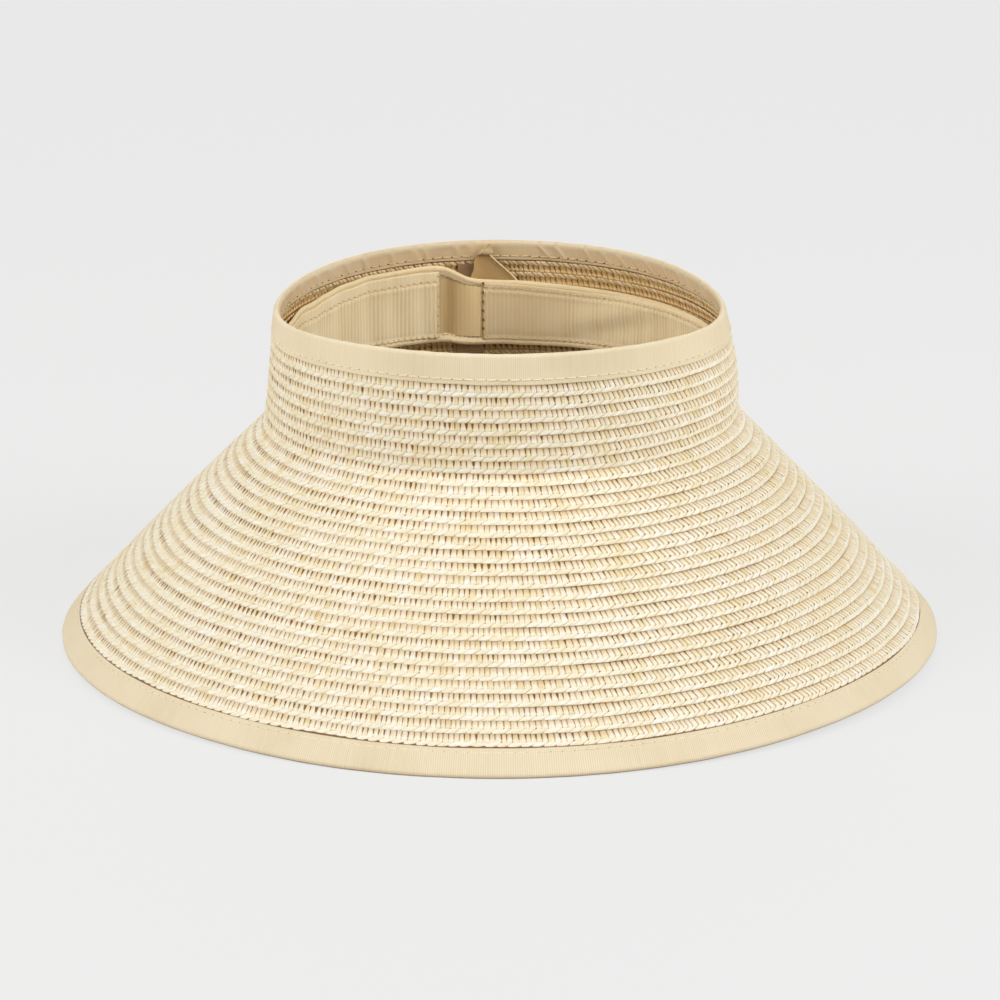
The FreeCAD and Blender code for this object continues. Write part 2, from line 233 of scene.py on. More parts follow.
def warp(points):
    """Sags of the soft hat: a lower rim at the sides, a lifted brim beside the front."""
    x, y, z = np.moveaxis(np.array(points, float), -1, 0)
    radius, angle = np.hypot(x, y), np.arctan2(y, x)
    crown_limit = BASE_R + 1.5
    height = np.clip((z - HEAD_Z - 4.0) / (RIM_Z - HEAD_Z - 4.0), 0, 1)
    height = np.where(radius < crown_limit, height, 0.0)
    out = (radius - BASE_R) / (EDGE_R - BASE_R)
    edge = np.clip(out, 0, 1) ** 1.5
    dip = 5.0 * around(angle, 183.0, 40.0) + 4.4 * around(angle, -2.0, 42.0)
    draw_in = 0.2 * around(angle, 182.0, 40.0) + 1.2 * around(angle, 4.0, 34.0)
    belly = 2.1 * around(angle, -4.0, 40.0) * bump(height, 0.38, 0.42)
    belly = belly * np.clip(1 - (radius - crown_limit) / 30.0, 0, 1)
    lift = 1.1 * around(angle, 222.0, 26.0) + 2.2 * around(angle, 322.0, 30.0)
    # at the front and the right the wall turns out into the brim one course higher up
    flare = 3.0 * around(angle, 268.0, 52.0) + 2.4 * around(angle, 352.0, 42.0)
    flare = flare * np.clip((HEAD_Z + 5.1 - z) / 5.1, 0, 1) * np.clip(1 - out, 0, 1)
    trim = 0.9 * around(angle, 340.0, 30.0) * edge
    radius = radius + belly + 0.92 * flare - draw_in * height**4.0 - trim
    return polar(radius, angle, z - dip * height**1.15 + lift * edge + 0.38 * flare)


# ----------------------------------------------------------------- mesh making
def mesh_object(name, points, quads, uv, values=None):
    """A smooth mesh from points in mm; values are float attributes per point."""
    mesh = bpy.data.meshes.new(name)
    mesh.vertices.add(len(points))
    mesh.vertices.foreach_set("co", np.ascontiguousarray(points * MM, np.float32).ravel())
    mesh.loops.add(quads.size)
    mesh.loops.foreach_set("vertex_index", quads.astype(np.int32).ravel())
    mesh.polygons.add(len(quads))
    mesh.polygons.foreach_set("loop_start", np.arange(0, quads.size, 4, dtype=np.int32))
    mesh.polygons.foreach_set("use_smooth", np.ones(len(quads), bool))
    layer = mesh.uv_layers.new(name="UVMap")
    layer.data.foreach_set("uv", np.ascontiguousarray(uv, np.float32).ravel())
    for key, value in (values or {}).items():
        attribute = mesh.attributes.new(key, "FLOAT", "POINT")
        attribute.data.foreach_set("value", np.ascontiguousarray(value, np.float32).ravel())
    mesh.update(calc_edges=True)
    mesh.validate()
    piece = bpy.data.objects.new(name, mesh)
    bpy.context.scene.collection.objects.link(piece)
    return piece


def grid_object(name, points, u, v, values=None, turn=None, flip=False):
    """A mesh over rows x columns of points, whose rows close into a section.

    The columns close too where `turn`, the u length of a full turn, is given; an open
    grid with an even number of rows gets capped ends. One UV unit is 100 mm.
    """
    points = np.array(points)
    rows, columns, _ = points.shape
    indices = np.arange(rows), np.arange(columns if turn else columns - 1)
    row, column = [index.ravel() for index in np.meshgrid(*indices, indexing="ij")]
    next_row, next_column = (row + 1) % rows, (column + 1) % columns
    quad_rows = np.stack([row, row, next_row, next_row], 1)
    quad_columns = np.stack([column, next_column, next_column, column], 1)
    if not turn and rows % 2 == 0:
        i = np.arange(rows // 2 - 1)
        cap = np.stack([i, i + 1, rows - 2 - i, rows - 1 - i], 1)
        quad_rows = np.concatenate([quad_rows, cap, cap[:, ::-1]])
        quad_columns = np.concatenate([quad_columns, 0 * cap, 0 * cap + columns - 1])
    uv = np.stack([u[quad_rows, quad_columns], v[quad_rows, quad_columns]], 2)
    if turn:
        uv[column == columns - 1, 1:3, 0] += turn
    quads = quad_rows * columns + quad_columns
    if flip:
        quads, uv = quads[:, ::-1], uv[:, ::-1]
    return mesh_object(name, points.reshape(-1, 3), quads, uv / 100.0, values)


def stack_values(rows, columns):
    """Turn one dict of values per row into one rows x columns array per key."""
    return {
        key: np.array([np.broadcast_to(row[key], columns) for row in rows]) for key in rows[0]
    }


def add(piece, material, node, body="visor"):
    piece.data.materials.append(material)
    if body:
        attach(piece, body)
    if node:
        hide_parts(node)


# ------------------------------------------------------------------- materials
def srgb(*levels):
    def linear(level):
        level /= 255.0
        return level / 12.92 if level <= 0.04045 else ((level + 0.055) / 1.055) ** 2.4

    return (*map(linear, levels), 1.0)


class Shader:
    """A material's node tree, with short ways to add its nodes."""

    def __init__(self, name):
        self.material = bpy.data.materials.new(name)
        self.material.use_nodes = True
        self.tree = self.material.node_tree
        self.surface = self.find("BSDF_PRINCIPLED")

    def find(self, kind):
        return next(node for node in self.tree.nodes if node.type == kind)

    def new(self, kind, **settings):
        node = self.tree.nodes.new(kind)
        for key, value in settings.items():
            setattr(node, key, value)
        return node

    def link(self, source, socket):
        self.tree.links.new(source, socket)

    def feed(self, node, **inputs):
        """Set or link inputs; an underscore stands for a space in a socket's name."""
        for key, value in inputs.items():
            self.put(node.inputs[key.replace("_", " ")], value)

    def put(self, socket, value):
        if isinstance(value, (int, float, tuple)):
            socket.default_value = value
        else:
            self.link(value, socket)

    def attribute(self, name):
        return self.new("ShaderNodeAttribute", attribute_name=name).outputs["Fac"]

    def uv(self, scale_u, scale_v):
        mapping = self.new("ShaderNodeMapping")
        source = self.new("ShaderNodeUVMap", uv_map="UVMap").outputs[0]
        self.feed(mapping, Scale=(scale_u, scale_v, 1), Vector=source)
        return mapping.outputs[0]

    def place(self, scale):
        mapping = self.new("ShaderNodeMapping")
        source = self.new("ShaderNodeTexCoord").outputs["Object"]
        self.feed(mapping, Scale=(scale, scale, scale), Vector=source)
        return mapping.outputs[0]

    def noise(self, vector, detail=3.0, roughness=0.5):
        node = self.new("ShaderNodeTexNoise")
        self.feed(node, Scale=1.0, Detail=detail, Roughness=roughness, Vector=vector)
        return node.outputs["Fac"]

    def calc(self, operation, *values, clamp=False):
        node = self.new("ShaderNodeMath", operation=operation, use_clamp=clamp)
        for i, value in enumerate((*values, 0.0)):
            self.put(node.inputs[i], value)
        return node.outputs[0]

    def mix(self, factor, first, second, mode="MIX"):
        node = self.new("ShaderNodeMix", data_type="RGBA", blend_type=mode)
        self.feed(node, Factor=factor, A=first, B=second)
        return node.outputs["Result"]

    def ramp(self, factor, stops):
        node = self.new("ShaderNodeValToRGB")
        elements = node.color_ramp.elements
        while len(elements) > 1:
            elements.remove(elements[-1])
        elements[0].position, elements[0].color = stops[0]
        for position, color in stops[1:]:
            elements.new(position).color = color
        self.feed(node, Fac=factor)
        return node.outputs["Color"]

    def remap(self, value, source, target):
        node = self.new("ShaderNodeMapRange")
        self.feed(node, Value=value, From_Min=source[0], From_Max=source[1])
        self.feed(node, To_Min=target[0], To_Max=target[1])
        return node.outputs["Result"]

    def finish(self, color, roughness, height, distance, strength, specular=0.3, sheen=0.0):
        """Feed the surface; `distance` and `strength` belong to the bump from `height`."""
        self.feed(self.surface, Base_Color=color, Roughness=roughness)
        self.feed(self.surface, Specular_IOR_Level=specular)
        if sheen:
            self.feed(self.surface, Sheen_Weight=sheen, Sheen_Roughness=0.5)
            self.feed(self.surface, Sheen_Tint=(1, 0.95, 0.85, 1))
        node = self.new("ShaderNodeBump")
        self.feed(node, Strength=strength, Distance=distance, Height=height)
        self.feed(self.surface, Normal=node.outputs[0])
        return self.material


def straw_material():
    """Straw strands, their openings drawn from the attributes made in course()."""
    shader = Shader("straw_braid")
    calc, mix = shader.calc, shader.mix
    tone, inside, joint_and_shade, ex, slit, ey, low = map(
        shader.attribute, ("tone", "inside", "joint_and_shade", "ex", "slit", "ey", "low")
    )
    fray = shader.noise(shader.place(1500.0), detail=2.0, roughness=0.6)
    pleat = shader.noise(shader.uv(150.0, 9.0), roughness=0.6)
    fibre = shader.noise(shader.uv(380.0, 30.0), detail=2.0)
    blotch = shader.noise(shader.place(40.0), roughness=0.55)
    # pale straw, mottled by strand, pleat and blotch
    level = calc("ADD", calc("MULTIPLY", tone, 0.42), calc("MULTIPLY", pleat, 0.46))
    level = calc("ADD", level, calc("MULTIPLY", calc("SUBTRACT", blotch, 0.5), 0.16))
    color = shader.ramp(level, [
        (0.12, srgb(216, 192, 138)),
        (0.34, srgb(235, 219, 174)),
        (0.50, srgb(246, 238, 214)),
        (0.70, srgb(252, 252, 248)),
    ])
    line = shader.remap(fibre, source=(0.34, 0.47), target=(1.0, 0.0))
    color = mix(calc("MULTIPLY", line, 0.42, clamp=True), color, srgb(208, 176, 120))
    ragged = calc("MULTIPLY", calc("SUBTRACT", fray, 0.5), 0.15)
    # openings between the upright strands
    from_side = calc("ADD", ex, ragged)
    opening = calc("DIVIDE", calc("SUBTRACT", slit, from_side), 0.085, clamp=True)
    # fine shaded line down every strand's side
    side = calc("DIVIDE", calc("SUBTRACT", 0.175, from_side), 0.12, clamp=True)
    side = calc("MULTIPLY", side, 0.84)
    # lines between the leaves of the lower edge
    from_leaf = calc("ADD", ey, calc("MULTIPLY", ragged, 0.5))
    leaf = calc("DIVIDE", calc("SUBTRACT", low, from_leaf), 0.035, clamp=True)
    # golden lines: the shaded strand sides, the straw's own lines between leaves, and the dark
    # joints with the painted shade under each lip
    gold = calc("MAXIMUM", side, calc("MULTIPLY", leaf, 0.75))
    gold = calc("MAXIMUM", gold, calc("MULTIPLY", joint_and_shade, 0.9))
    color = mix(gold, color, srgb(188, 140, 34))
    # a dark line of painted shade under each course's lip, with a little from the dark joints
    lip_shade = calc("MULTIPLY", calc("POWER", joint_and_shade, 2.2), 0.95, clamp=True)
    color = mix(lip_shade, color, srgb(142, 94, 26))
    patchy = shader.noise(shader.place(170.0), detail=2.0)
    deep = mix(patchy, srgb(106, 64, 2), srgb(170, 118, 18))
    color = mix(calc("MULTIPLY", opening, 0.96, clamp=True), color, deep)
    # painted shade: the braid's face towards the head is multiplied by a warm darker colour
    color = mix(calc("MULTIPLY", inside, 0.42), color, srgb(248, 208, 130), "MULTIPLY")
    height = calc("ADD", calc("MULTIPLY", pleat, 1.0), calc("MULTIPLY", fibre, 0.6))
    roughness = shader.remap(pleat, source=(0.2, 0.8), target=(0.60, 0.44))
    return shader.finish(
        color, roughness, height, distance=0.0003, strength=0.6, specular=0.38, sheen=0.04
    )


def ribbon_material(name, dark, middle, light, pitch, depth=0.45, shaded=(122, 86, 44)):
    """Grosgrain: ribs across the ribbon, a fine weft over them, slow colour change.

    `depth` is how far painted shade darkens the valleys between ribs; `shaded` is the colour of
    the painted shade that the shade attribute mixes in.
    """
    shader = Shader(name)
    calc, mix = shader.calc, shader.mix
    rib = shader.attribute("rib")
    weft = shader.noise(shader.uv(300.0, 700.0), detail=2.0, roughness=0.6)
    slow = shader.noise(shader.place(24.0))
    yarn = shader.noise(shader.uv(55.0 / pitch, 3.0), detail=1.0)
    level = calc("ADD", calc("MULTIPLY", slow, 0.46), calc("MULTIPLY", weft, 0.40))
    level = calc("ADD", level, calc("MULTIPLY", yarn, 0.14))
    stops = [(0.30, srgb(*dark)), (0.5, srgb(*middle)), (0.70, srgb(*light))]
    color = shader.ramp(level, stops)
    # painted shade in the valleys between ribs, then painted shade where the shade attribute
    # asks for it
    valley_shade = calc("MULTIPLY", calc("SUBTRACT", 1.0, rib), depth)
    color = mix(valley_shade, color, srgb(*dark))
    color = mix(shader.attribute("shade"), color, srgb(*shaded))
    height = calc("ADD", calc("MULTIPLY", weft, 0.7), calc("MULTIPLY", rib, 0.5))
    return shader.finish(
        color, 0.86, height, distance=0.00012, strength=0.5, specular=0.12, sheen=0.15
    )


def thread_material(name, first, second):
    shader = Shader(name)
    vector = shader.uv(120.0, 260.0)
    node = shader.new(
        "ShaderNodeTexWave", wave_type="BANDS", bands_direction="X", wave_profile="SIN"
    )
    shader.feed(node, Scale=1.0, Distortion=1.0, Detail=1.0, Vector=vector)
    twist = node.outputs["Fac"]
    color = shader.mix(twist, srgb(*first), srgb(*second))
    return shader.finish(color, 0.6, twist, distance=0.0001, strength=0.5, sheen=0.2)


def metal_material(name, color, roughness):
    shader = Shader(name)
    grain = shader.noise(shader.place(900.0))
    shader.feed(shader.surface, Metallic=1.0)
    color = shader.mix(shader.calc("MULTIPLY", grain, 0.4), color, (0.2, 0.19, 0.18, 1))
    roughness = shader.remap(grain, source=(0.2, 0.8), target=(roughness, roughness + 0.2))
    return shader.finish(
        color, roughness, grain, distance=0.00005, strength=0.3, specular=0.5
    )


def pile_material(name, first, second):
    shader = Shader(name)
    grain = shader.noise(shader.place(1400.0))
    tufts = shader.new("ShaderNodeTexVoronoi")
    source = shader.new("ShaderNodeTexCoord").outputs["Object"]
    shader.feed(tufts, Scale=900.0, Vector=source)
    color = shader.mix(grain, srgb(*first), srgb(*second))
    height = shader.calc("ADD", grain, tufts.outputs["Distance"])
    return shader.finish(color, 0.85, height, distance=0.0004, strength=0.8, sheen=0.4)


STRAW = straw_material()
# ribbons: dark, middle and light sRGB colours, then the ribs' pitch in mm
BINDING = ribbon_material(
    "binding_grosgrain", (220, 202, 166), (241, 228, 199), (248, 238, 214), 0.75,
    depth=0.70, shaded=(200, 140, 46))
# the brim's binding: the rim's ribbon painted a little darker as painted shade, with a dark
# shaded colour for the painted shadow line under the last lip and under the fold
BRIM_BINDING = ribbon_material(
    "brim_binding_grosgrain", (215, 197, 162), (236, 223, 195), (243, 233, 210), 0.75,
    depth=0.70, shaded=(116, 78, 30))
SWEATBAND = ribbon_material(
    "sweatband_grosgrain", (216, 188, 138), (246, 227, 188), (254, 241, 210), 1.85,
    depth=0.62, shaded=(156, 108, 24))
HEM = ribbon_material(
    "sweatband_tape", (222, 196, 146), (242, 221, 178), (250, 234, 196), 0.9, depth=0.30)
ELASTIC = ribbon_material(
    "elastic_knit", (208, 174, 116), (238, 212, 160), (248, 226, 182), 1.75,
    depth=0.18, shaded=(150, 104, 46))
STRAP = ribbon_material(
    "strap_grosgrain", (194, 156, 100), (220, 186, 132), (232, 202, 150), 0.8)
BACK_TAPE = ribbon_material(
    "back_seam_grosgrain", (158, 126, 90), (186, 152, 112), (200, 168, 130), 0.8,
    shaded=(112, 84, 66))
THREAD = thread_material("sewing_thread", (240, 224, 188), (255, 246, 222))
THREAD_BAND = thread_material("sewing_thread_band", (218, 190, 138), (242, 220, 174))
# darker copies of the sewing thread as painted shade: where ends sink into needle holes and on
# the shaded panel hems, darkest in the holes inside the rim and at the panel's right seam, and
# a dimmer copy for the stitches inside the rim
THREAD_SHADED = thread_material("sewing_thread_shaded", (148, 112, 60), (176, 140, 84))
THREAD_INNER_SHADED = thread_material("sewing_thread_inner_shaded", (212, 184, 134), (236, 212, 164))
THREAD_HOLE_SHADE = thread_material("sewing_thread_hole_shade", (92, 58, 22), (118, 80, 38))
WIRE = metal_material("drawn_wire", (0.55, 0.55, 0.54, 1), roughness=0.3)
BRASS = metal_material("crimp_brass", (0.62, 0.45, 0.20, 1), roughness=0.35)
LOOP = pile_material("loop_pile", (186, 168, 134), (214, 198, 164))
HOOK = pile_material("hook_tape", (178, 160, 126), (206, 190, 156))


# ------------------------------------------------------------------- the braid
PAIR_PITCH = 4.6   # along the course, for a pair of strands
KINK = 0.61        # share of the width where strands turn back
ACROSS = np.array([0.0, 0.10, 0.26, 0.50, 0.74, 0.90])  # points over one strand
# shares of the course's width, from its upper edge to its lower one and back inside
OUTER_STOPS = (-0.20, -0.06, 0.03, 0.11, 0.22, 0.36, 0.50, 0.575, 0.625, 0.69, 0.78, 0.87, 0.95)
LIP_STOP = 1.01
INNER_STOPS = (0.96, 0.85, 0.78, 0.70, 0.60, 0.46, 0.34, 0.26, 0.17, 0.05, -0.07, -0.17)


def nearer(values, index, part):
    """The value of this item or, past its middle, of the next one round the ring."""
    return np.where(part < 0.5, values[index], values[(index + 1) % len(values)])


def course(name, upper, lower, seed, node, openness, lip_lift=0.0, sink=0.0):
    """One closed turn of braid between two distances along the wall.

    Each row of points sits at `v`, a share of the width, and carries the shader's
    attributes: a joint and lip-shade value (dark joints and knots, and painted shade
    under each course's lip), tone, ex and ey (distance to the side of the strand
    and of the pair), slit and low (widths of the openings there), and inside
    (painted shade over the face towards the head).
    """
    width = lower - upper
    radius = wall((upper + lower) / 2, 0)[0]
    pairs = int(round(TURN * radius / PAIR_PITCH))
    strands = pairs * 2
    random = np.random.RandomState(seed)
    draw = random.uniform
    span = 1 + 0.20 * draw(-1, 1, strands)
    span *= 1 + 0.10 * wave(np.arange(strands) / strands * TURN, max(8, pairs // 5), seed + 1)
    span *= TURN / span.sum()
    start = np.concatenate([[0], np.cumsum(span)[:-1]])
    strand = np.repeat(np.arange(strands), len(ACROSS))
    x = np.tile(ACROSS, strands)
    angle = start[strand] + x * span[strand]
    pair = strand // 2
    y = (strand % 2 + x) / 2.0
    phase = draw(0, TURN)

    def facing(degrees):
        return np.cos(start + phase - math.radians(degrees))

    # the course lies flatter on the left half, and its strands stand apart there
    flat = smooth(facing(192), -0.05, 0.65)
    even = np.arange(strands) % 2 == 0
    slit_size = np.where(even, draw(0.45, 1.0, strands), draw(0.05, 0.75, strands)) * openness
    slit_size = slit_size * (1 - 0.6 * flat) + 0.6 * flat * draw(0.45, 1.15, strands)
    slit_size *= 0.85 + 0.40 * wave(start, 24, seed + 2)
    # the straw opens more on the left half, the knots show more on the right
    slit_size = np.clip(slit_size * (0.92 + 0.22 * facing(200)), 0.03, 1.30)
    dot_size = draw(0, 1, strands) ** 1.3
    dot_size = np.where(even, dot_size, dot_size * 0.7) * (0.85 + 0.25 * facing(330))
    strand_lift = draw(-0.09, 0.09, strands)[strand]
    pair_lift = draw(-0.05, 0.05, pairs)[pair]
    strand_tone = np.clip(0.55 + 0.11 * random.randn(strands), 0.15, 1.0)[strand]
    pair_tone = np.clip(0.66 + 0.08 * random.randn(pairs), 0.2, 1.0)[pair]
    knot = draw(0, 1, strands)[strand] ** 2
    # long openings on the left half, short ones on the right
    reach = np.clip(0.62 + 0.38 * facing(200) + 0.25 * draw(-1, 1, strands), 0.15, 1.1)
    reach = nearer(reach, strand, x)
    # strands stand upright from the left round to the front, and lean to the right of it
    stand = smooth(facing(205), -0.30, 0.50)
    dot_size = nearer(dot_size * (1 - 0.45 * stand), strand, x)
    slit_size = np.clip(slit_size * (1 + 0.16 * stand - 0.30 * flat), 0.03, 1.12)
    slit_size = nearer(slit_size, strand, x)
    flat, stand = flat[strand], stand[strand]

    side = np.minimum(x, 1 - x)
    leaf_side = np.minimum(y, 1 - y)
    cut = np.select([side == 0.0, side < 0.12], [1.0, 0.55], 0.0)
    ledge = np.select([leaf_side == 0.0, leaf_side < 0.06], [1.0, 0.45], 0.0)
    arch = 1 - (2 * x - 1) ** 2
    strand_dome = np.sqrt(arch) * 0.6 + 0.4 * arch
    pair_dome = 1 - np.abs(2 * y - 1) ** 2.6
    low_size = nearer(draw(0.35, 1.0, pairs), pair, y)
    wobble = 0.035 * wave(angle, 40, seed + 3) + 0.02 * wave(angle, 130, seed + 4)

    def slant(v):
        above = 0.52 * (1 - 0.92 * stand) * (min(v, KINK) - KINK)
        return above - 1.60 * (1 - 0.22 * stand) * max(v - KINK, 0.0)

    def outer_row(v):
        leaf = smooth(v, 0.57, 0.67)  # 0 on the strands, 1 on the leaves below them
        knots = bump(v, 0.605, 0.05)
        dome = (1 - leaf) * (0.34 * strand_dome + strand_lift)
        leaf_dome = 0.34 * pair_dome + 0.12 * (y - 0.5) + pair_lift
        dome = dome + leaf * (1 - 0.42 * stand) * leaf_dome
        opening = (0.15 + 0.07 * stand) * reach * (1 - smooth(v, 0.25, 0.55))
        opening = opening + (0.16 - 0.10 * stand) * (1 - smooth(v, 0.0, 0.26)) + 0.035
        opening = slit_size * opening * (1 - smooth(v, 0.52, 0.58))
        dot = dot_size * 0.36 * knots
        slit_cut = cut * slit_size * 0.36 * (1 - 0.8 * smooth(v, 0.05, 0.5)) * (1 - leaf)
        offset = (
            -0.27 + 0.56 * v + flat * (0.11 - 0.23 * v)
            + lip_lift * smooth(v, 0.5, 1.0) - sink + dome
            - slit_cut - cut * dot_size * 0.35 * knots
            - 0.24 * (1 - 0.4 * stand) * ledge * leaf - 0.10 * knots
            - 0.20 * smooth(v, 0.86, 0.97)
        )
        joint = smooth(v, 0.0, 0.06) * (1 - smooth(v, 0.10, 0.50))
        fade = 0.11 * stand * smooth(v, 0.36, 0.54)
        shown = side if leaf < 0.5 or dot.max() > 0.02 else 0.5
        across = v + wobble * (v > -0.1) + 0.022 * pair_dome * (v > 0.85)
        # painted shade in the first rows, under the lip of the course above; the joints and
        # knots added to it are the straw's own dark
        return v, offset, across, slant(v), dict(
            joint_and_shade=0.95 * (1 - 0.58 * flat) * (1.0 - smooth(v, -0.06, 0.09))
            + (0.24 + 0.20 * stand - 0.14 * flat) * joint
            + 0.34 * knot * bump(v, 0.61, 0.03),
            tone=(1 - leaf) * (strand_tone + 0.10) + leaf * (pair_tone + 0.02),
            ex=shown + fade,
            slit=np.maximum(opening, dot) + fade * (dot > 0.02),
            ey=leaf_side,
            low=leaf * low_size * 0.045 * (1 - 0.15 * stand),
            inside=0.0,
        )

    def lip_row(v):
        offset = 0.02 + lip_lift - sink - 0.06 * ledge
        # painted shade along the lip's lower edge, strongest on the brim's last course over its
        # binding
        joint_and_shade = 0.95 if lip_lift else 0.55 * (1 - 0.5 * flat)
        return v, offset, v + wobble + 0.024 * pair_dome, slant(v), dict(
            joint_and_shade=joint_and_shade, tone=pair_tone, ex=0.5, slit=0.0, ey=leaf_side, low=0.03, inside=0.0
        )

    def inner_row(v):
        """The face towards the head: a roped edge, sunken strands, a thin cord."""
        rope = 1 - smooth(v, 0.22, 0.30)
        cord = smooth(v, 0.60, 0.68)
        middle = 1 - rope - cord
        roundness = np.sqrt(np.clip(1 - ((v - 0.03) / 0.26) ** 2, 0, 1))
        bulge = (
            rope * (0.42 * pair_dome - 0.30 * ledge) * roundness
            + middle * (0.20 * strand_dome - 0.30 * cut * slit_size)
            + cord * 0.26 * pair_dome * bump(v, 0.74, 0.12)
        )
        offset = -1.42 + v + 0.30 * middle * (v > 0.2) - bulge * (0.5 if sink else 1.0)
        slide = -0.9 * v * (1 if v < 0.3 else 0.3)
        # painted shade in the sunken middle and at the lower end under the next course, the
        # ropes and cord painted lighter as highlight, and the whole face marked for painted
        # shade
        return v, offset, v + wobble * (v > -0.1) - 0.48, slide, dict(
            joint_and_shade=0.30 * middle + 0.85 * smooth(v, 0.80, 0.92),
            tone=0.60 * strand_tone + 0.22 * rope + 0.15 * cord,
            ex=side,
            slit=middle * (0.08 + 0.22 * slit_size),
            ey=leaf_side,
            low=rope * 0.07 * low_size + cord * 0.05,
            inside=1.0,
        )

    rows = [outer_row(v) for v in OUTER_STOPS] + [lip_row(LIP_STOP)]
    rows += [inner_row(v) for v in INNER_STOPS]
    points, values, heights = [], [], []
    for v, offset, across, slide, row in rows:
        ring_radius, ring_z = wall(upper + across * width, offset)
        points.append(polar(ring_radius, angle + phase + slide * width / radius, ring_z))
        for key in ("slit", "low"):
            # a width below zero keeps the shader from drawing any line in this row
            row[key] = row[key] - (0.0 if np.max(row[key]) > 0.001 else 0.1)
        values.append(row)
        heights.append(np.full(len(x), v * width + seed * 7.0))
    piece = grid_object(
        name, warp(points), np.tile(angle * radius, (len(rows), 1)), np.array(heights),
        stack_values(values, len(x)), turn=TURN * radius, flip=True,
    )
    add(piece, STRAW, node)


CROWN_COURSES = 8
BRIM_COURSES = 20
# the first crown course is hidden above the others, behind the rim binding
for i in range(-1, CROWN_COURSES):
    course(
        "crown_course_%02d" % (i + 2),
        -CROWN_LENGTH + CROWN_LENGTH * i / CROWN_COURSES,
        -CROWN_LENGTH + CROWN_LENGTH * (i + 1) / CROWN_COURSES,
        100 + i * 11, "crown_braid", openness=1.26, sink=0.75 if i < 0 else 0.0,
    )
for i in range(BRIM_COURSES):
    course(
        "brim_course_%02d" % (i + 1),
        BRIM_BINDING_S * i / BRIM_COURSES, BRIM_BINDING_S * (i + 1) / BRIM_COURSES,
        400 + i * 11, "brim_braid", openness=1.04,
        lip_lift=0.45 if i == BRIM_COURSES - 1 else 0.0,
    )


# ---------------------------------------------------------------- the bindings
def gathers(seed, count, start, end, height):
    """Direction (degrees), height, slant and width of creases in the rim binding."""
    draw = np.random.RandomState(seed).uniform
    places = start + (end - start) * (np.arange(count) + draw(-0.35, 0.35, count)) / count
    return [(at, draw(0.5, 1.0) * height, draw(0.5, 1.1), draw(0.6, 1.3)) for at in places]


# strong creases at the back right, softer ones at the back left, slight ones in front
RIM_GATHERS = (
    gathers(5, 13, 12.0, 84.0, 0.70) + gathers(6, 12, 96.0, 175.0, 0.42)
    + gathers(7, 20, 180.0, 360.0, 0.22)
)


def gather_relief(angle, down):
    """Crease height `down` mm below the fold."""
    relief = 0 * angle
    for at, height, slant, width in RIM_GATHERS:
        lean, wide = (slant, width) if at < 95 else (slant * 0.25, width * 2.0)
        arc = np.radians(wrap_degrees(np.degrees(angle) - at)) * 90.0 + lean * (down - 3.0)
        crease = bump(arc, 0, 0.85 * wide) - 0.60 * bump(arc, 1.7 * wide, 1.2 * wide)
        relief = relief + height * crease
    relief = np.clip(relief, -0.16, 2.0)
    return relief * smooth(down, 0.3, 2.0) * (1 - 0.75 * smooth(down, 5.0, 7.4))


def rib_wave(columns, per_rib):
    return 0.5 + 0.5 * np.cos(TURN * (np.arange(columns) % per_rib) / per_rib)


def fold_arc(fold, middle, radius, steps):
    return [
        (fold + radius * math.sin(math.pi * k / steps),
         middle + radius * math.cos(math.pi * k / steps))
        for k in range(steps + 1)
    ]


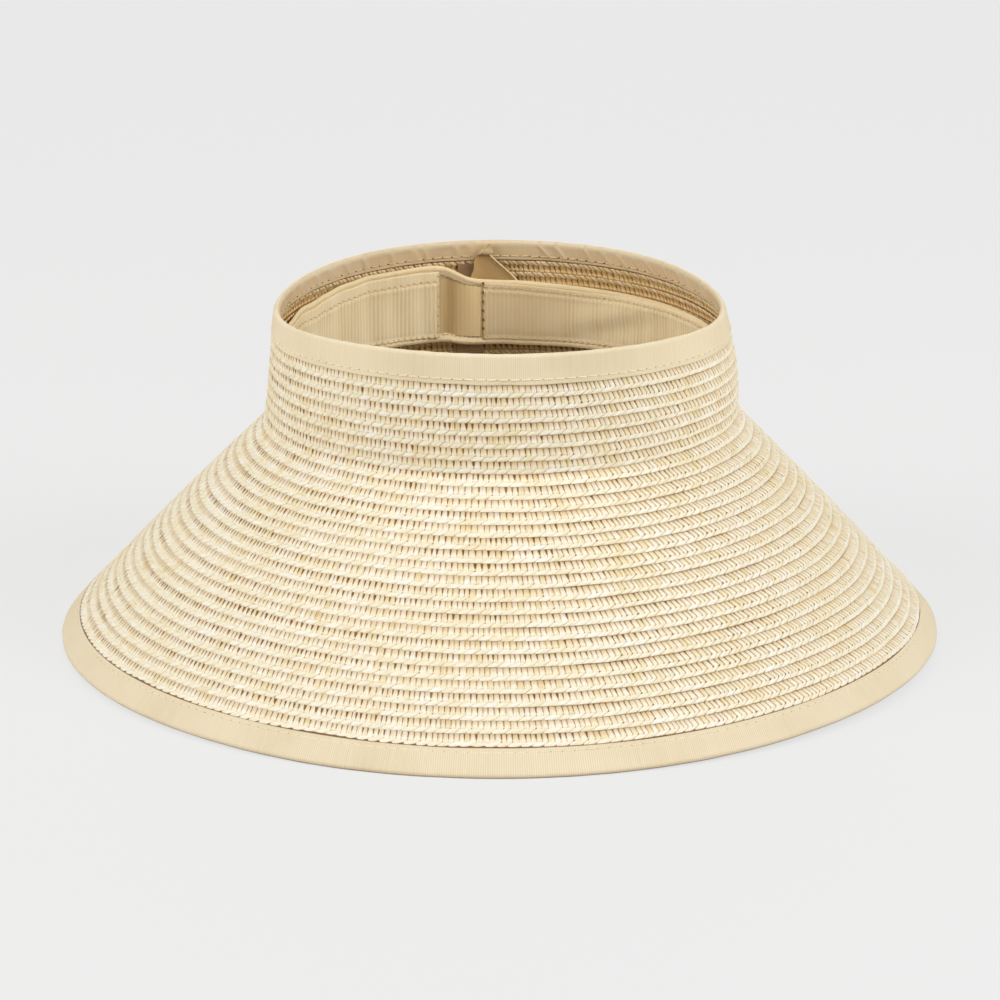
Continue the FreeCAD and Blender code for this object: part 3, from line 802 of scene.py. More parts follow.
def folded_ribbon(
    name, node, material, place, start, fold, finish, outer_stops,
    rib_pitch, per_rib, seed, edge_wobble, pucker=0.0, shaded_edge=False,
):
    """A ribbon over an edge, outside from `start` to `fold` and inside to `finish`.

    `place` turns (distance along, offset outwards) into (radius, height).
    """
    middle = (OUTER_FACE + INNER_FACE) / 2
    radius = (OUTER_FACE - INNER_FACE) / 2
    inner_stops = (0.10, 0.20, 0.32, 0.44, 0.56, 0.68, 0.78, 0.87, 0.95, 1.0)
    shown = [(start + (fold - start) * stop, OUTER_FACE) for stop in outer_stops]
    shown += fold_arc(fold, middle, radius, 8)
    shown += [(fold + (finish - fold) * stop, INNER_FACE) for stop in inner_stops]
    lining = [(start + (fold - start) * stop, OUTER_FACE - BINDING_THICK) for stop in (0, 0.5)]
    lining += fold_arc(fold, middle, radius - BINDING_THICK, 4)
    lining += [(fold + (finish - fold) * stop, INNER_FACE + BINDING_THICK) for stop in (0.5, 1)]
    path = np.array(shown + lining[::-1])
    mean_radius = place(0.5 * (start + fold), 0.0)[0]
    columns = int(round(TURN * mean_radius / rib_pitch)) * per_rib
    angle = np.arange(columns) / columns * TURN
    rib = rib_wave(columns, per_rib)
    travelled = np.concatenate([[0], np.cumsum(np.hypot(*np.diff(path, axis=0).T))])
    tangent = np.gradient(path, axis=0)
    tangent /= np.linalg.norm(tangent, axis=1)[:, None]
    points, values = [], []
    for i, (along, offset) in enumerate(path):
        on_face = i < len(shown)
        inner_leg = on_face and offset < middle
        share = min(abs(along - fold) / abs(finish - fold), 1.0) if inner_leg else 0.0
        height = 0.045 * rib * on_face + 0.07 * wave(angle, 60, seed)
        height += 0.05 * field(angle / TURN * 160, travelled[i] / 5.0, seed + 9, 160, 64)
        if inner_leg and pucker:
            folds = angle / TURN * 62 + share * 0.9 * np.sin(angle * 2 + 1)
            height += pucker * share * 0.8 * field(folds, 0.5 + share * 0.6, seed + 5, 62, 8)
            height += gather_relief(angle, abs(along - fold))
        edge = 0.0
        if i < 3 or i >= len(path) - 2:
            edge = edge_wobble * wave(angle, 90, seed + 2)
        if inner_leg and share > 0.85:
            edge = -edge_wobble * 1.5 * wave(angle, 70, seed + 3)
        # a shallow valley where the thread pulls the ribbon down
        if on_face and offset > middle:
            height -= 0.10 * bump(abs(along - start), 1.9, 0.45)
        if inner_leg:
            height -= 0.10 * bump(abs(along - finish), 1.6, 0.45)
        if i == 0:
            height -= 0.10
        # painted shade rising along the inner leg inside the crown, and over the hidden lining
        shade = 0.33 * smooth(share, 0.02, 0.2) if on_face else 0.5
        if shaded_edge and on_face:
            # painted shade beside the straw's last lip and under the fold
            under = 0.62 if offset < middle + 0.15 * radius else 0.0
            shade = 0.92 if i < 3 else under
        ring_radius, ring_z = place(
            along + edge - tangent[i, 1] * height, offset + tangent[i, 0] * height
        )
        points.append(polar(ring_radius, angle, ring_z))
        values.append(dict(rib=rib, shade=shade))
    piece = grid_object(
        name, warp(points), np.tile(angle * mean_radius, (len(path), 1)),
        np.tile(travelled[:, None], (1, columns)), stack_values(values, columns),
        turn=TURN * mean_radius, flip=True,
    )
    add(piece, material, node)


folded_ribbon(
    "rim_binding_ribbon", "rim_binding", BINDING, crown_wall,
    start=BINDING_Z, fold=FOLD_Z, finish=BINDING_IN_Z,
    outer_stops=(0, 0.02, 0.07, 0.14, 0.28, 0.45, 0.62, 0.80, 0.93),
    rib_pitch=0.75, per_rib=3, seed=21, edge_wobble=0.12, pucker=0.30,
)
folded_ribbon(
    "brim_binding_ribbon", "brim_binding", BRIM_BINDING, wall,
    start=BRIM_BINDING_S - 0.6, fold=BRIM_LENGTH, finish=BRIM_BINDING_S,
    outer_stops=(0, 0.02, 0.078, 0.090, 0.16, 0.30, 0.50, 0.72, 0.93),
    rib_pitch=0.86, per_rib=2, seed=31, edge_wobble=0.08, shaded_edge=True,
)


# -------------------------------------------------------------------- stitches
# faces of one stitch: six rings of six points, and two quads over each end
STITCH_QUADS = [
    [6 * j + m, 6 * j + (m + 1) % 6, 6 * j + (m + 1) % 6 + 6, 6 * j + m + 6]
    for j in range(5) for m in range(6)
]
STITCH_QUADS += [[0, 5, 4, 3], [0, 3, 2, 1], [33, 34, 35, 30], [31, 32, 33, 30]]


def stitch_row(
    name, node, curve, total, thread, seed, pitch, length, radius, lift, start, sag,
    jitter=0.12, zigzag=0.0, body="visor", warped=False,
):
    """Separate stitches: short bent threads whose ends dive into the cloth.

    curve(distance) gives position, direction and outward normal.
    """
    draw = np.random.RandomState(seed).uniform
    count = int(round(total / pitch))
    # share of the length, height over the cloth
    profile = [
        (-0.5, -sag), (-0.40, lift * 0.5), (-0.15, lift),
        (0.15, lift), (0.40, lift * 0.5), (0.5, -sag),
    ]
    points = []
    for i in range(count):
        middle = start + (i + 0.5) * total / count + draw(-1, 1) * jitter
        tilt = draw(-0.10, 0.10) + (zigzag if i % 2 else -zigzag)
        for share, height in profile:
            position, direction, normal = curve(middle + share * length)
            side = np.cross(normal, direction)
            centre = position + normal * height + side * tilt * share * length
            thick = radius * (0.75 if abs(share) > 0.45 else 1.0)
            for m in range(6):
                turned = TURN * m / 6
                points.append(
                    centre + (math.cos(turned) * side + math.sin(turned) * normal) * thick
                )
    points = np.array(points)
    if warped:
        points = warp(points)
    quads = np.array(STITCH_QUADS) + 36 * np.arange(count)[:, None, None]
    quads = quads.reshape(-1, 4)
    corners = points[quads.ravel()]
    uv = np.stack([corners[:, 0], corners[:, 1] + corners[:, 2]], 1) / 100.0
    add(mesh_object(name, points, quads, uv), thread, node, body)


def ring_curve(place, along, offset, facing):
    """A circle on a wall, and its length; facing is 1 for outwards, -1 for inwards."""
    radius, z = place(along, offset)
    radius_out, z_out = place(along, offset + 0.1)
    size = math.hypot(radius_out - radius, z_out - z)
    normal_r, normal_z = (radius_out - radius) / size, (z_out - z) / size

    def at(distance):
        angle = distance / radius
        direction = np.array([-math.sin(angle), math.cos(angle), 0.0])
        return polar(radius, angle, z), direction, facing * polar(normal_r, angle, normal_z)

    return at, TURN * radius


RIM_OUTER = ring_curve(crown_wall, BINDING_Z + 2.1, OUTER_FACE - 0.02, 1)
RIM_INNER = ring_curve(crown_wall, BINDING_IN_Z + 1.6, INNER_FACE + 0.05, -1)
BRIM_TOP = ring_curve(wall, BRIM_BINDING_S + 2.1, OUTER_FACE - 0.06, 1)
BRIM_UNDER = ring_curve(wall, BRIM_BINDING_S + 1.9, INNER_FACE + 0.03, -1)

# name, node, curve, total, thread, seed, pitch, length, radius, lift, start, sag
for row in (
    ("rim_stitches_outer", "rim_binding_stitch_outer", *RIM_OUTER,
     THREAD, 51, 4.5, 3.8, 0.26, 0.19, 0.0, 0.22),
    ("rim_stitch_ends_outer", None, *RIM_OUTER,
     THREAD_SHADED, 51, 4.5, 0.55, 0.17, -0.04, 2.25, 0.2),
    ("rim_stitches_inner", "rim_binding_stitch_inner", *RIM_INNER,
     THREAD_INNER_SHADED, 52, 4.2, 3.5, 0.28, 0.18, 0.0, 0.22),
    ("rim_stitch_ends_inner", None, *RIM_INNER,
     THREAD_HOLE_SHADE, 52, 4.2, 0.7, 0.26, 0.02, 2.1, 0.2),
    ("brim_stitches_top", "brim_binding_stitch_top", *BRIM_TOP,
     THREAD, 53, 4.5, 3.9, 0.12, 0.05, 0.0, 0.22),
    ("brim_stitch_ends", None, *BRIM_TOP,
     THREAD_SHADED, 53, 4.5, 0.45, 0.14, -0.03, 2.25, 0.2),
    ("brim_stitches_under", "brim_binding_stitch_under", *BRIM_UNDER,
     THREAD, 54, 4.4, 3.9, 0.15, 0.10, 0.0, 0.22),
):
    stitch_row(*row, warped=True)


# ------------------------------------------------ the wire in the brim's binding
def tube(name, points, radii, sides, closed=False):
    """A round tube along points, with capped ends when it is open."""
    tangent = np.gradient(points, axis=0)
    if closed:
        tangent = np.roll(points, -1, 0) - np.roll(points, 1, 0)
    tangent /= np.linalg.norm(tangent, axis=1)[:, None]
    side = np.cross(tangent, np.array([0, 0, 1.0]))
    side /= np.linalg.norm(side, axis=1)[:, None]
    normal = np.cross(side, tangent)
    count = len(points)
    rows = []
    for m in range(sides):
        turned = TURN * m / sides
        spoke = side * math.cos(turned) + normal * math.sin(turned)
        rows.append(points + spoke * radii[:, None])
    u = np.tile(np.arange(count) * 1.0, (sides, 1))
    v = np.tile(np.arange(sides)[:, None] * 0.3, (1, count))
    return grid_object(name, warp(rows), u, v, turn=float(count) if closed else None)


wire_low, wire_high = box_mm("brim_edge_wire")
sleeve_low, sleeve_high = box_mm("wire_joint_sleeve")
WIRE_Z = (wire_low[2] + wire_high[2]) / 2
WIRE_RADIUS = (wire_high[2] - wire_low[2]) / 2
WIRE_RING_R = wire_high[0] - WIRE_RADIUS
JOINT_ANGLE = math.atan2(
    (sleeve_low[1] + sleeve_high[1]) / 2, (sleeve_low[0] + sleeve_high[0]) / 2
)


def wire_line(angles):
    return polar(WIRE_RING_R, JOINT_ANGLE + angles, WIRE_Z)


wire = tube(
    "brim_wire_ring", wire_line(np.linspace(0.0, TURN, 361)[:-1]),
    np.full(360, WIRE_RADIUS), sides=8, closed=True,
)
add(wire, WIRE, "brim_edge_wire")
half_sleeve = math.atan2(sleeve_high[0] - sleeve_low[0], WIRE_RING_R * 1.6)
sleeve_radii = np.full(15, (sleeve_high[2] - sleeve_low[2]) / 2)
sleeve_radii[[0, -1]] = WIRE_RADIUS * 0.98
sleeve_radii[[4, 5, 9, 10]] *= 0.86      # crimps
sleeve = tube(
    "wire_crimp_sleeve", wire_line(np.linspace(-half_sleeve, half_sleeve, 15)),
    sleeve_radii, sides=12,
)
add(sleeve, BRASS, "wire_joint_sleeve")


# --------------------------------------------------------------- the sweatband
# azimuth counts in degrees from centre back (+Y) towards +X
BAND_R = 89.0
PANEL_LEFT, PANEL_RIGHT = -17.3, -5.0   # azimuths of the elastic panel's ends
# (azimuth, z) of the backing's upper and lower edges and the ribbon's upper edge
BACKING_TOP = through(
    (-181, 122.0), (-120, 122.0), (-92, 122.4), (-74, 124.1), (-68, 126.2), (-62, 127.3),
    (-56, 128.1), (-50, 129.5), (-45, 130.5), (-40, 131.0), (-31, 131.6), (-23, 132.1),
    (-19, 132.2), (-16, 131.6), (-13.7, 130.2), (-11.1, 128.0), (-8.9, 126.3), (-5.9, 125.3),
    (-0.6, 124.7), (4.4, 124.5), (10.9, 123.9), (19.2, 123.5), (29, 123.2), (39.8, 122.8),
    (52.3, 122.6), (67, 122.2), (90, 122.0), (181, 122.0))
BACKING_BOTTOM = through(
    (-181, 96.6), (-60, 97.4), (-30, 98.1), (-15.2, 98.2), (-11.8, 97.0), (-8, 96.4),
    (0, 96.3), (7, 96.0), (24, 96.3), (60, 96.5), (181, 96.6))
RIBBON_TOP = through(
    (-181, 121.0), (-120, 121.0), (-92, 121.2), (-74, 121.8), (-68, 123.4), (-62, 124.6),
    (-56, 125.5), (-50, 127.0), (-45, 127.9), (-40, 128.5), (-31, 129.2), (-23, 129.6),
    (-17, 129.6), (-16, 129.2), (-13.7, 127.8), (-11.1, 125.8), (-8.9, 124.4), (-5.9, 123.9),
    (-3.8, 123.5), (5.3, 122.6), (14.6, 121.6), (24.1, 121.3), (32, 121.4), (40, 121.4),
    (67, 121.2), (90, 121.0), (181, 121.0))
# (azimuth, mm below the upper edge) where the ribbon is sewn down; its ribs puff out below
SEWN = through(
    (-181, 2.6), (-100, 2.6), (-75, 3.6), (-56, 5.0), (-40, 5.0), (-17.5, 4.6), (-17, 3.0),
    (-5, 2.6), (20, 2.4), (60, 2.4), (181, 2.6))
# shares of the height where rows of points lie
RIBBON_STOPS = np.array([
    0, 0.012, 0.035, 0.055, 0.075, 0.095, 0.13, 0.20, 0.30, 0.40, 0.5, 0.6, 0.68, 0.74,
    0.77, 0.795, 0.815, 0.835, 0.855, 0.875, 0.89, 0.905, 0.92, 0.94, 0.965, 0.988, 1.0])
BACKING_STOPS = np.array([
    0, 0.012, 0.028, 0.045, 0.062, 0.08, 0.10, 0.13, 0.25, 0.4, 0.55, 0.7, 0.82, 0.86,
    0.885, 0.91, 0.93, 0.95, 0.967, 0.983, 0.995, 1.0])


def bearing(azimuth):
    """Angle from +X in radians."""
    return np.radians(90.0 - azimuth)


def band_relief(azimuth, z):
    """How far the ribbon's face bulges towards the head."""
    azimuth = wrap_degrees(azimuth)
    left_end = 1.3 * bump(azimuth, PANEL_LEFT, 7.0) * (azimuth < PANEL_LEFT)
    right_end = 0.5 * bump(azimuth, PANEL_RIGHT, 6.0) * (azimuth > PANEL_RIGHT)
    height = np.clip((z - 97.0) / 26.0, 0, 1)
    # a soft slanting buckle to the right of centre back
    along = (azimuth - 33.0) / 9.0
    buckle = 1.0 * bump(height, 0.62 + 0.13 * along, 0.19) * bump(along, 0, 1.6)
    buckle -= 0.7 * bump(height, 0.36 + 0.16 * along, 0.15) * bump(along, 0, 1.5)
    # upright waves to the left of it, slow ones all round
    left = smooth(azimuth, -75, -60) * (1 - smooth(azimuth, -24, -18))
    turned = np.radians(azimuth)
    waves = 0.42 * np.sin(turned * 23.0 + 0.6 + 0.5 * height)
    waves = left * (waves + 0.28 * np.sin(turned * 41.0 + 1.4 * height))
    slow = 0.24 * field((azimuth + 180) / 360 * 52, height * 2 + 4, 72, 52, 16)
    slow = (slow + 0.34 * wave(turned, 26, 71)) * (1 - 0.55 * bump(azimuth, -11, 12))
    return left_end + right_end + np.clip(buckle, -0.9, 2.2) + slow + waves


def band(
    name, node, material, start, end, bottom, top, radius, thick, relief, shade,
    stops, rib_pitch, per_rib, rib_height, hem=None, closed=False, scallop=0.0, sewn=None,
):
    """A ribbon standing round the head, from azimuth `start` to `end`.

    relief(azimuth, z) moves it inwards, hem(azimuth, share, below_top, above_bottom)
    only its face; shade(azimuth, share) darkens it.
    """
    arc = math.radians(end - start) * radius
    columns = int(round(arc / rib_pitch)) * per_rib + (0 if closed else 1)
    part = np.arange(columns) / (columns if closed else columns - 1)
    azimuth = start + (end - start) * part
    wrapped = wrap_degrees(azimuth)
    angle = bearing(azimuth)
    rib = rib_wave(columns, per_rib)
    gain = 0.75 + 0.45 * field(np.arange(columns) / per_rib * 0.55, 3.5, 77, 256, 8)
    if sewn is not None:
        gain = gain * (1 - 0.55 * np.clip(1 - np.abs(wrapped - 6.0) / 26.0, 0, 1))
    scallops = np.abs(np.sin(math.pi * part * arc / 2.6)) - 0.5
    high = top(wrapped) + scallop * (scallops + 0.5 * wave(angle, 150, 78))
    low = bottom(wrapped) - scallop * scallops
    points, values, heights = [], [], []
    rows = [(True, share) for share in stops]
    rows += [(False, share) for share in np.linspace(1.0, 0.0, 4)]
    for on_face, share in rows:
        z = low + (high - low) * share
        below_top, above_bottom = (1 - share) * (high - low), share * (high - low)
        inward = relief(azimuth, z)
        ribbed = 1.0
        if sewn is not None:
            ripple = np.abs(np.sin(math.pi * part * arc / 3.1 + wave(angle, 60, 79)))
            seam = sewn(wrapped) + 0.55 * ripple - 0.2
            ribbed = 0.25 + 0.75 * smooth(below_top, seam - 0.3, seam + 0.5)
            ribbed = ribbed * (0.25 + 0.75 * smooth(above_bottom, 1.6, 2.4))
        if on_face:
            fade = 1 if 0.02 < share < 0.98 else 0.4
            inward = inward + rib * rib_height * gain * ribbed * fade
            if sewn is not None:
                inward = inward - 0.17 * bump(below_top, seam - 0.3, 0.55)
                inward = inward + 0.16 * bump(below_top, seam + 1.2, 0.9)
            if hem is not None:
                inward = inward + hem(wrapped, share, below_top, above_bottom)
        points.append(polar(radius + (0 if on_face else thick) - inward, angle, z))
        shown_rib = np.clip(1 - (1 - rib) * ribbed * np.clip(gain, 0.3, 1.3), 0, 1)
        values.append(dict(rib=shown_rib, shade=shade(wrapped, share)))
        heights.append(above_bottom)
    piece = grid_object(
        name, points, np.tile(part * arc, (len(rows), 1)), np.array(heights),
        stack_values(values, columns), turn=arc if closed else None,
    )
    add(piece, material, node)


def ribbon_hem(_azimuth, share, _below_top, above_bottom):
    return -0.14 * bump(above_bottom, 1.9, 0.7) - 0.10 * (share <= 0.0) - 0.10 * (share >= 1.0)


def ribbon_shade(azimuth, _share):
    fade = np.clip(1.35 - (azimuth - PANEL_RIGHT) / 34.0, 0, 1)
    right = 0.52 * bump(azimuth, PANEL_RIGHT + 0.1, 0.42) + 0.25 * fade
    right = (azimuth > PANEL_RIGHT) * (right + 0.07 * bump(azimuth, 12, 9))
    return right + 0.22 * bump(azimuth, PANEL_LEFT, 0.35)


def backing_relief(azimuth, z):
    azimuth = wrap_degrees(azimuth)
    relief = np.clip(band_relief(azimuth, z) - 0.05, -1.2, 0.5)
    panel = smooth(azimuth, PANEL_LEFT - 0.8, PANEL_LEFT + 0.4)
    panel = panel * (1 - smooth(azimuth, PANEL_RIGHT - 0.4, PANEL_RIGHT + 0.6))
    from_top, from_bottom = RIBBON_TOP(azimuth) - z, z - BACKING_BOTTOM(azimuth)
    edges = 1 - smooth(from_top, 1.5, 2.2) * smooth(from_bottom, 3.2, 3.9)
    return relief * (1 - panel) + panel * (-0.25 + 0.75 * edges) + 0.05


def backing_hem(azimuth, share, below_top, above_bottom):
    """The margins above and below the ribbon are soft rolls."""
    left = 1 - smooth(azimuth, -9, 2)
    turned = np.radians(azimuth)
    roll_top = (0.38 + 0.25 * left) * bump(below_top, 1.3, 1.1)
    roll_top = roll_top * np.clip(below_top / 0.5, 0, 1) ** 0.5
    knobs = np.sin(turned * 89.7 * math.pi / 2.9 + 0.8 * np.sin(turned * 60))
    knobs = 0.75 + 0.25 * np.abs(knobs)
    roll_bottom = (0.62 + 0.25 * left) * knobs * bump(above_bottom, 1.35, 1.0)
    fine = 0.07 * field((azimuth + 180) * 0.9, share * 34 + 2, 92, 324, 48)
    return roll_top + roll_bottom + fine * smooth(below_top, 0.2, 0.8)


def backing_shade(azimuth, share):
    line = 0.30 * smooth(azimuth, 2, 12) * (1 - smooth(azimuth, 42, 60))
    return line * bump((1 - share) * 26.0, 2.2, 0.5)


def panel_part(azimuth):
    return np.clip((wrap_degrees(azimuth) - PANEL_LEFT) / (PANEL_RIGHT - PANEL_LEFT), 0, 1)


def panel_relief(azimuth, z):
    part = panel_part(azimuth)
    height = np.clip((z - 98.0) / 26.0, 0, 1)
    ripple = 0.12 * np.sin(part * 9 + height * 1.2) * (0.4 + height) * smooth(part, 0.3, 0.6)
    return 0.50 * smooth(part, 0.45, 0.98) - 0.30 * bump(part, 0.22, 0.20) + ripple


def panel_shade(azimuth, share):
    part = panel_part(azimuth) + 0.05 * (0.5 - share)
    return (
        0.24 * (1 - smooth(part, 0.0, 0.12)) + 0.52 * bump(part, 0.30, 0.20)
        + 0.10 * bump(part, 0.58, 0.12) + 0.06 + 0.42 * smooth(part, 0.955, 0.985)
    )


band(
    "sweatband_ribbon_face", "sweatband_ribbon", SWEATBAND,
    start=PANEL_RIGHT + 0.05, end=360 + PANEL_LEFT - 0.05,
    bottom=lambda azimuth: BACKING_BOTTOM(azimuth) + 2.4, top=RIBBON_TOP,
    radius=BAND_R, thick=0.5, relief=band_relief, shade=ribbon_shade, stops=RIBBON_STOPS,
    rib_pitch=1.85, per_rib=6, rib_height=0.13, hem=ribbon_hem, scallop=0.10, sewn=SEWN,
)
band(
    "sweatband_backing_tape", "sweatband_backing", HEM,
    start=-180, end=180, bottom=BACKING_BOTTOM, top=BACKING_TOP,
    radius=89.7, thick=0.55, relief=backing_relief, shade=backing_shade,
    stops=BACKING_STOPS, rib_pitch=1.1, per_rib=3, rib_height=0.05, hem=backing_hem,
    closed=True,
)
band(
    "sweatband_elastic_insert", "sweatband_elastic_panel", ELASTIC,
    start=PANEL_LEFT - 0.3, end=PANEL_RIGHT + 0.25,
    bottom=lambda azimuth: BACKING_BOTTOM(azimuth) + 3.6,
    top=lambda azimuth: RIBBON_TOP(azimuth) - 1.9,
    radius=89.35, thick=0.3, relief=panel_relief, shade=panel_shade, stops=RIBBON_STOPS,
    rib_pitch=1.75, per_rib=6, rib_height=0.045, scallop=0.2,
)


def level_curve(height, start, arc_radius, radius_at):
    """A line round the band from azimuth `start` towards +X, at z = height(azimuth)."""
    def at(distance):
        azimuth = start + math.degrees(distance / arc_radius)
        z = height(wrap_degrees(azimuth))
        climb = (height(wrap_degrees(azimuth + 0.2)) - z) / (math.radians(0.2) * arc_radius)
        angle = bearing(azimuth)
        direction = np.array([np.sin(angle), -np.cos(angle), climb])
        direction /= np.linalg.norm(direction)
        return polar(radius_at(azimuth, z), angle, z), direction, -polar(1.0, angle, 0.0)

    return at


def band_curve(height, inset):
    return level_curve(
        height, PANEL_RIGHT + 0.6, BAND_R,
        lambda azimuth, z: BAND_R - band_relief(azimuth, z) - inset,
    )


def hem_curve(height):
    return level_curve(
        height, PANEL_LEFT + 0.8, HEM_ARC_R,
        lambda azimuth, z: 89.12 - 0.2 * smooth(azimuth, -9.0, -5.0),
    )


def upright(azimuth, low):
    """A vertical line up the ribbon's face from z = low."""
    def at(distance):
        z = low + distance
        angle = bearing(azimuth)
        position = polar(BAND_R - band_relief(azimuth, z) - 0.02, angle, z)
        return position, np.array([0, 0, 1.0]), -polar(1.0, angle, 0.0)

    return at


HEM_ARC_R = 89.2
BAND_LENGTH = math.radians(360 + PANEL_LEFT - PANEL_RIGHT - 1.2) * BAND_R
HEM_LENGTH = math.radians(PANEL_RIGHT - PANEL_LEFT - 1.6) * HEM_ARC_R

# name, node, curve, total, thread,
# seed, pitch, length, radius, lift, start, sag, jitter, zigzag
for row in (
    ("sweatband_stitches_top", "sweatband_stitch_top",
     band_curve(lambda a: RIBBON_TOP(a) - SEWN(a) + 0.5, 0.0), BAND_LENGTH, THREAD_BAND,
     61, 1.5, 1.8, 0.13, 0.02, 0.0, 0.2, 0.12, 0.65),
    ("sweatband_stitch_ends_top", None,
     band_curve(lambda a: RIBBON_TOP(a) - SEWN(a) + 0.9, 0.10), BAND_LENGTH, THREAD_SHADED,
     66, 3.0, 0.5, 0.15, 0.0, 0.0, 0.1, 0.5, 0.0),
    ("sweatband_stitches_bottom", "sweatband_stitch_bottom",
     band_curve(lambda a: BACKING_BOTTOM(a) + 2.7, -0.02), BAND_LENGTH, THREAD_BAND,
     62, 1.35, 1.9, 0.14, 0.10, 0.0, 0.15, 0.12, 0.75),
    ("sweatband_stitch_ends_bottom", None,
     band_curve(lambda a: BACKING_BOTTOM(a) + 3.5, -0.05), BAND_LENGTH, THREAD_SHADED,
     67, 2.7, 0.5, 0.12, 0.0, 0.0, 0.1, 0.12, 0.0),
    ("panel_hem_stitches_top", None,
     hem_curve(lambda a: RIBBON_TOP(a) - 1.7), HEM_LENGTH, THREAD_SHADED,
     68, 1.9, 1.2, 0.13, 0.06, 0.0, 0.1, 0.12, 0.45),
    ("panel_hem_stitches_bottom", None,
     hem_curve(lambda a: BACKING_BOTTOM(a) + 3.4), HEM_LENGTH, THREAD_SHADED,
     69, 1.9, 1.2, 0.13, 0.06, 0.0, 0.1, 0.12, 0.45),
    ("panel_seam_right", "panel_stitch_right",
     upright(PANEL_RIGHT + 0.42, 99.6), 22.0, THREAD_BAND,
     63, 4.0, 2.6, 0.22, 0.05, 0.0, 0.25, 0.1, 0.0),
    ("panel_stitch_ends_right", None,
     upright(PANEL_RIGHT + 0.20, 99.6), 24.0, THREAD_HOLE_SHADE,
     63, 4.0, 1.1, 0.42, 0.02, 2.0, 0.15, 0.15, 0.0),
    ("panel_seam_left", "panel_stitch_left",
     upright(PANEL_LEFT - 0.45, 101.8), 24.0, THREAD_BAND,
     64, 4.0, 2.9, 0.17, 0.05, 0.0, 0.25, 0.1, 0.0),
    ("panel_stitch_ends_left", None,
     upright(PANEL_LEFT - 0.40, 101.8), 26.0, THREAD_SHADED,
     64, 4.0, 0.7, 0.20, -0.02, 2.0, 0.15, 0.2, 0.0),
):
    stitch_row(*row)


# -------------------------------------------- back tape, fastener patches, strap
def patch(
    name, node, material, low, high, start, end, base, seed, rib_pitch,
    rib_height=0.0, thick=0.30, arc_radius=92, softness=(0.08, 0.35, 0.12),
    face_rows=14, v_zero=None, tucked=False, body="visor",
):
    """A ribbon piece between two heights and two azimuths, in front of r = base(z).

    softness is the height of its unevenness and its rate round and up the piece.
    """
    per_rib = 4
    soft_height, soft_round, soft_up = softness
    arc = math.radians(end - start) * arc_radius
    columns = int(round(arc / rib_pitch)) * per_rib + 1
    azimuth = np.linspace(start, end, columns)
    rib = rib_wave(columns, per_rib)
    points, values, heights = [], [], []
    rows = [(True, share) for share in np.linspace(0, 1, face_rows)]
    rows += [(False, share) for share in np.linspace(1, 0, 4)]
    for on_face, share in rows:
        z = low + (high - low) * share
        soft = soft_height * field(azimuth * soft_round + 40, z * soft_up, seed)
        radius = base(z) + (0.75 * smooth(z, 128.2, 129.6) if tucked else 0.0)
        radius = radius - (thick + rib * rib_height + soft if on_face else 0.02)
        points.append(polar(radius, bearing(azimuth), z))
        # painted shade on a tucked piece from z 121 upwards, in the shaded space above the
        # sweatband
        values.append(dict(rib=rib, shade=0.55 * smooth(z, 121.0, 124.0) if tucked else 0.0))
        heights.append(np.full(columns, z - (low if v_zero is None else v_zero)))
    piece = grid_object(
        name, points, np.tile(np.linspace(0, arc, columns), (len(rows), 1)),
        np.array(heights), stack_values(values, columns),
    )
    add(piece, material, node, body)


tape_low, tape_high = box_mm("back_seam_tape")
strap_low, _ = box_mm("adjuster_strap")
STRAP_R = 90.55

patch(
    "back_seam_ribbon", "back_seam_tape", BACK_TAPE,
    low=tape_low[2], high=tape_high[2], start=-11.6, end=-4.6,
    base=lambda z: crown_radius(z) - BRAID_THICK - 0.62,
    seed=81, rib_pitch=0.8, rib_height=0.05, tucked=True,
)
patch(
    "loop_patch", "strap_loop_patch", LOOP,
    low=102.0, high=119.0, start=-2.0, end=14.0,
    base=lambda z: crown_radius(z) - BRAID_THICK - 0.55, seed=82, rib_pitch=1.0,
)
patch(
    "strap_ribbon", "adjuster_strap", STRAP,
    low=strap_low[2], high=122.0, start=-60, end=5.5, base=lambda z: STRAP_R + 0.67,
    seed=83, rib_pitch=0.9, rib_height=0.05, thick=0.55, arc_radius=STRAP_R,
    softness=(0.06, 0.3, 0.1), face_rows=12, v_zero=0.0, body="adjuster_strap",
)
patch(
    "hook_patch", "strap_hook_patch", HOOK,
    low=102.5, high=119.5, start=-3.5, end=4.5, base=lambda z: 91.6,
    seed=84, rib_pitch=1.0, body="adjuster_strap",
)


# ---------------------------------------------------------------- the pull tab
def tab_radius(z):
    """The tab leans in towards the head as it rises."""
    return 90.15 - 1.9 * np.clip((z - 126.9) / 14.1, -0.2, 1.2)


def tab_angle(x):
    return math.pi / 2 - np.arcsin(x / 90.0)


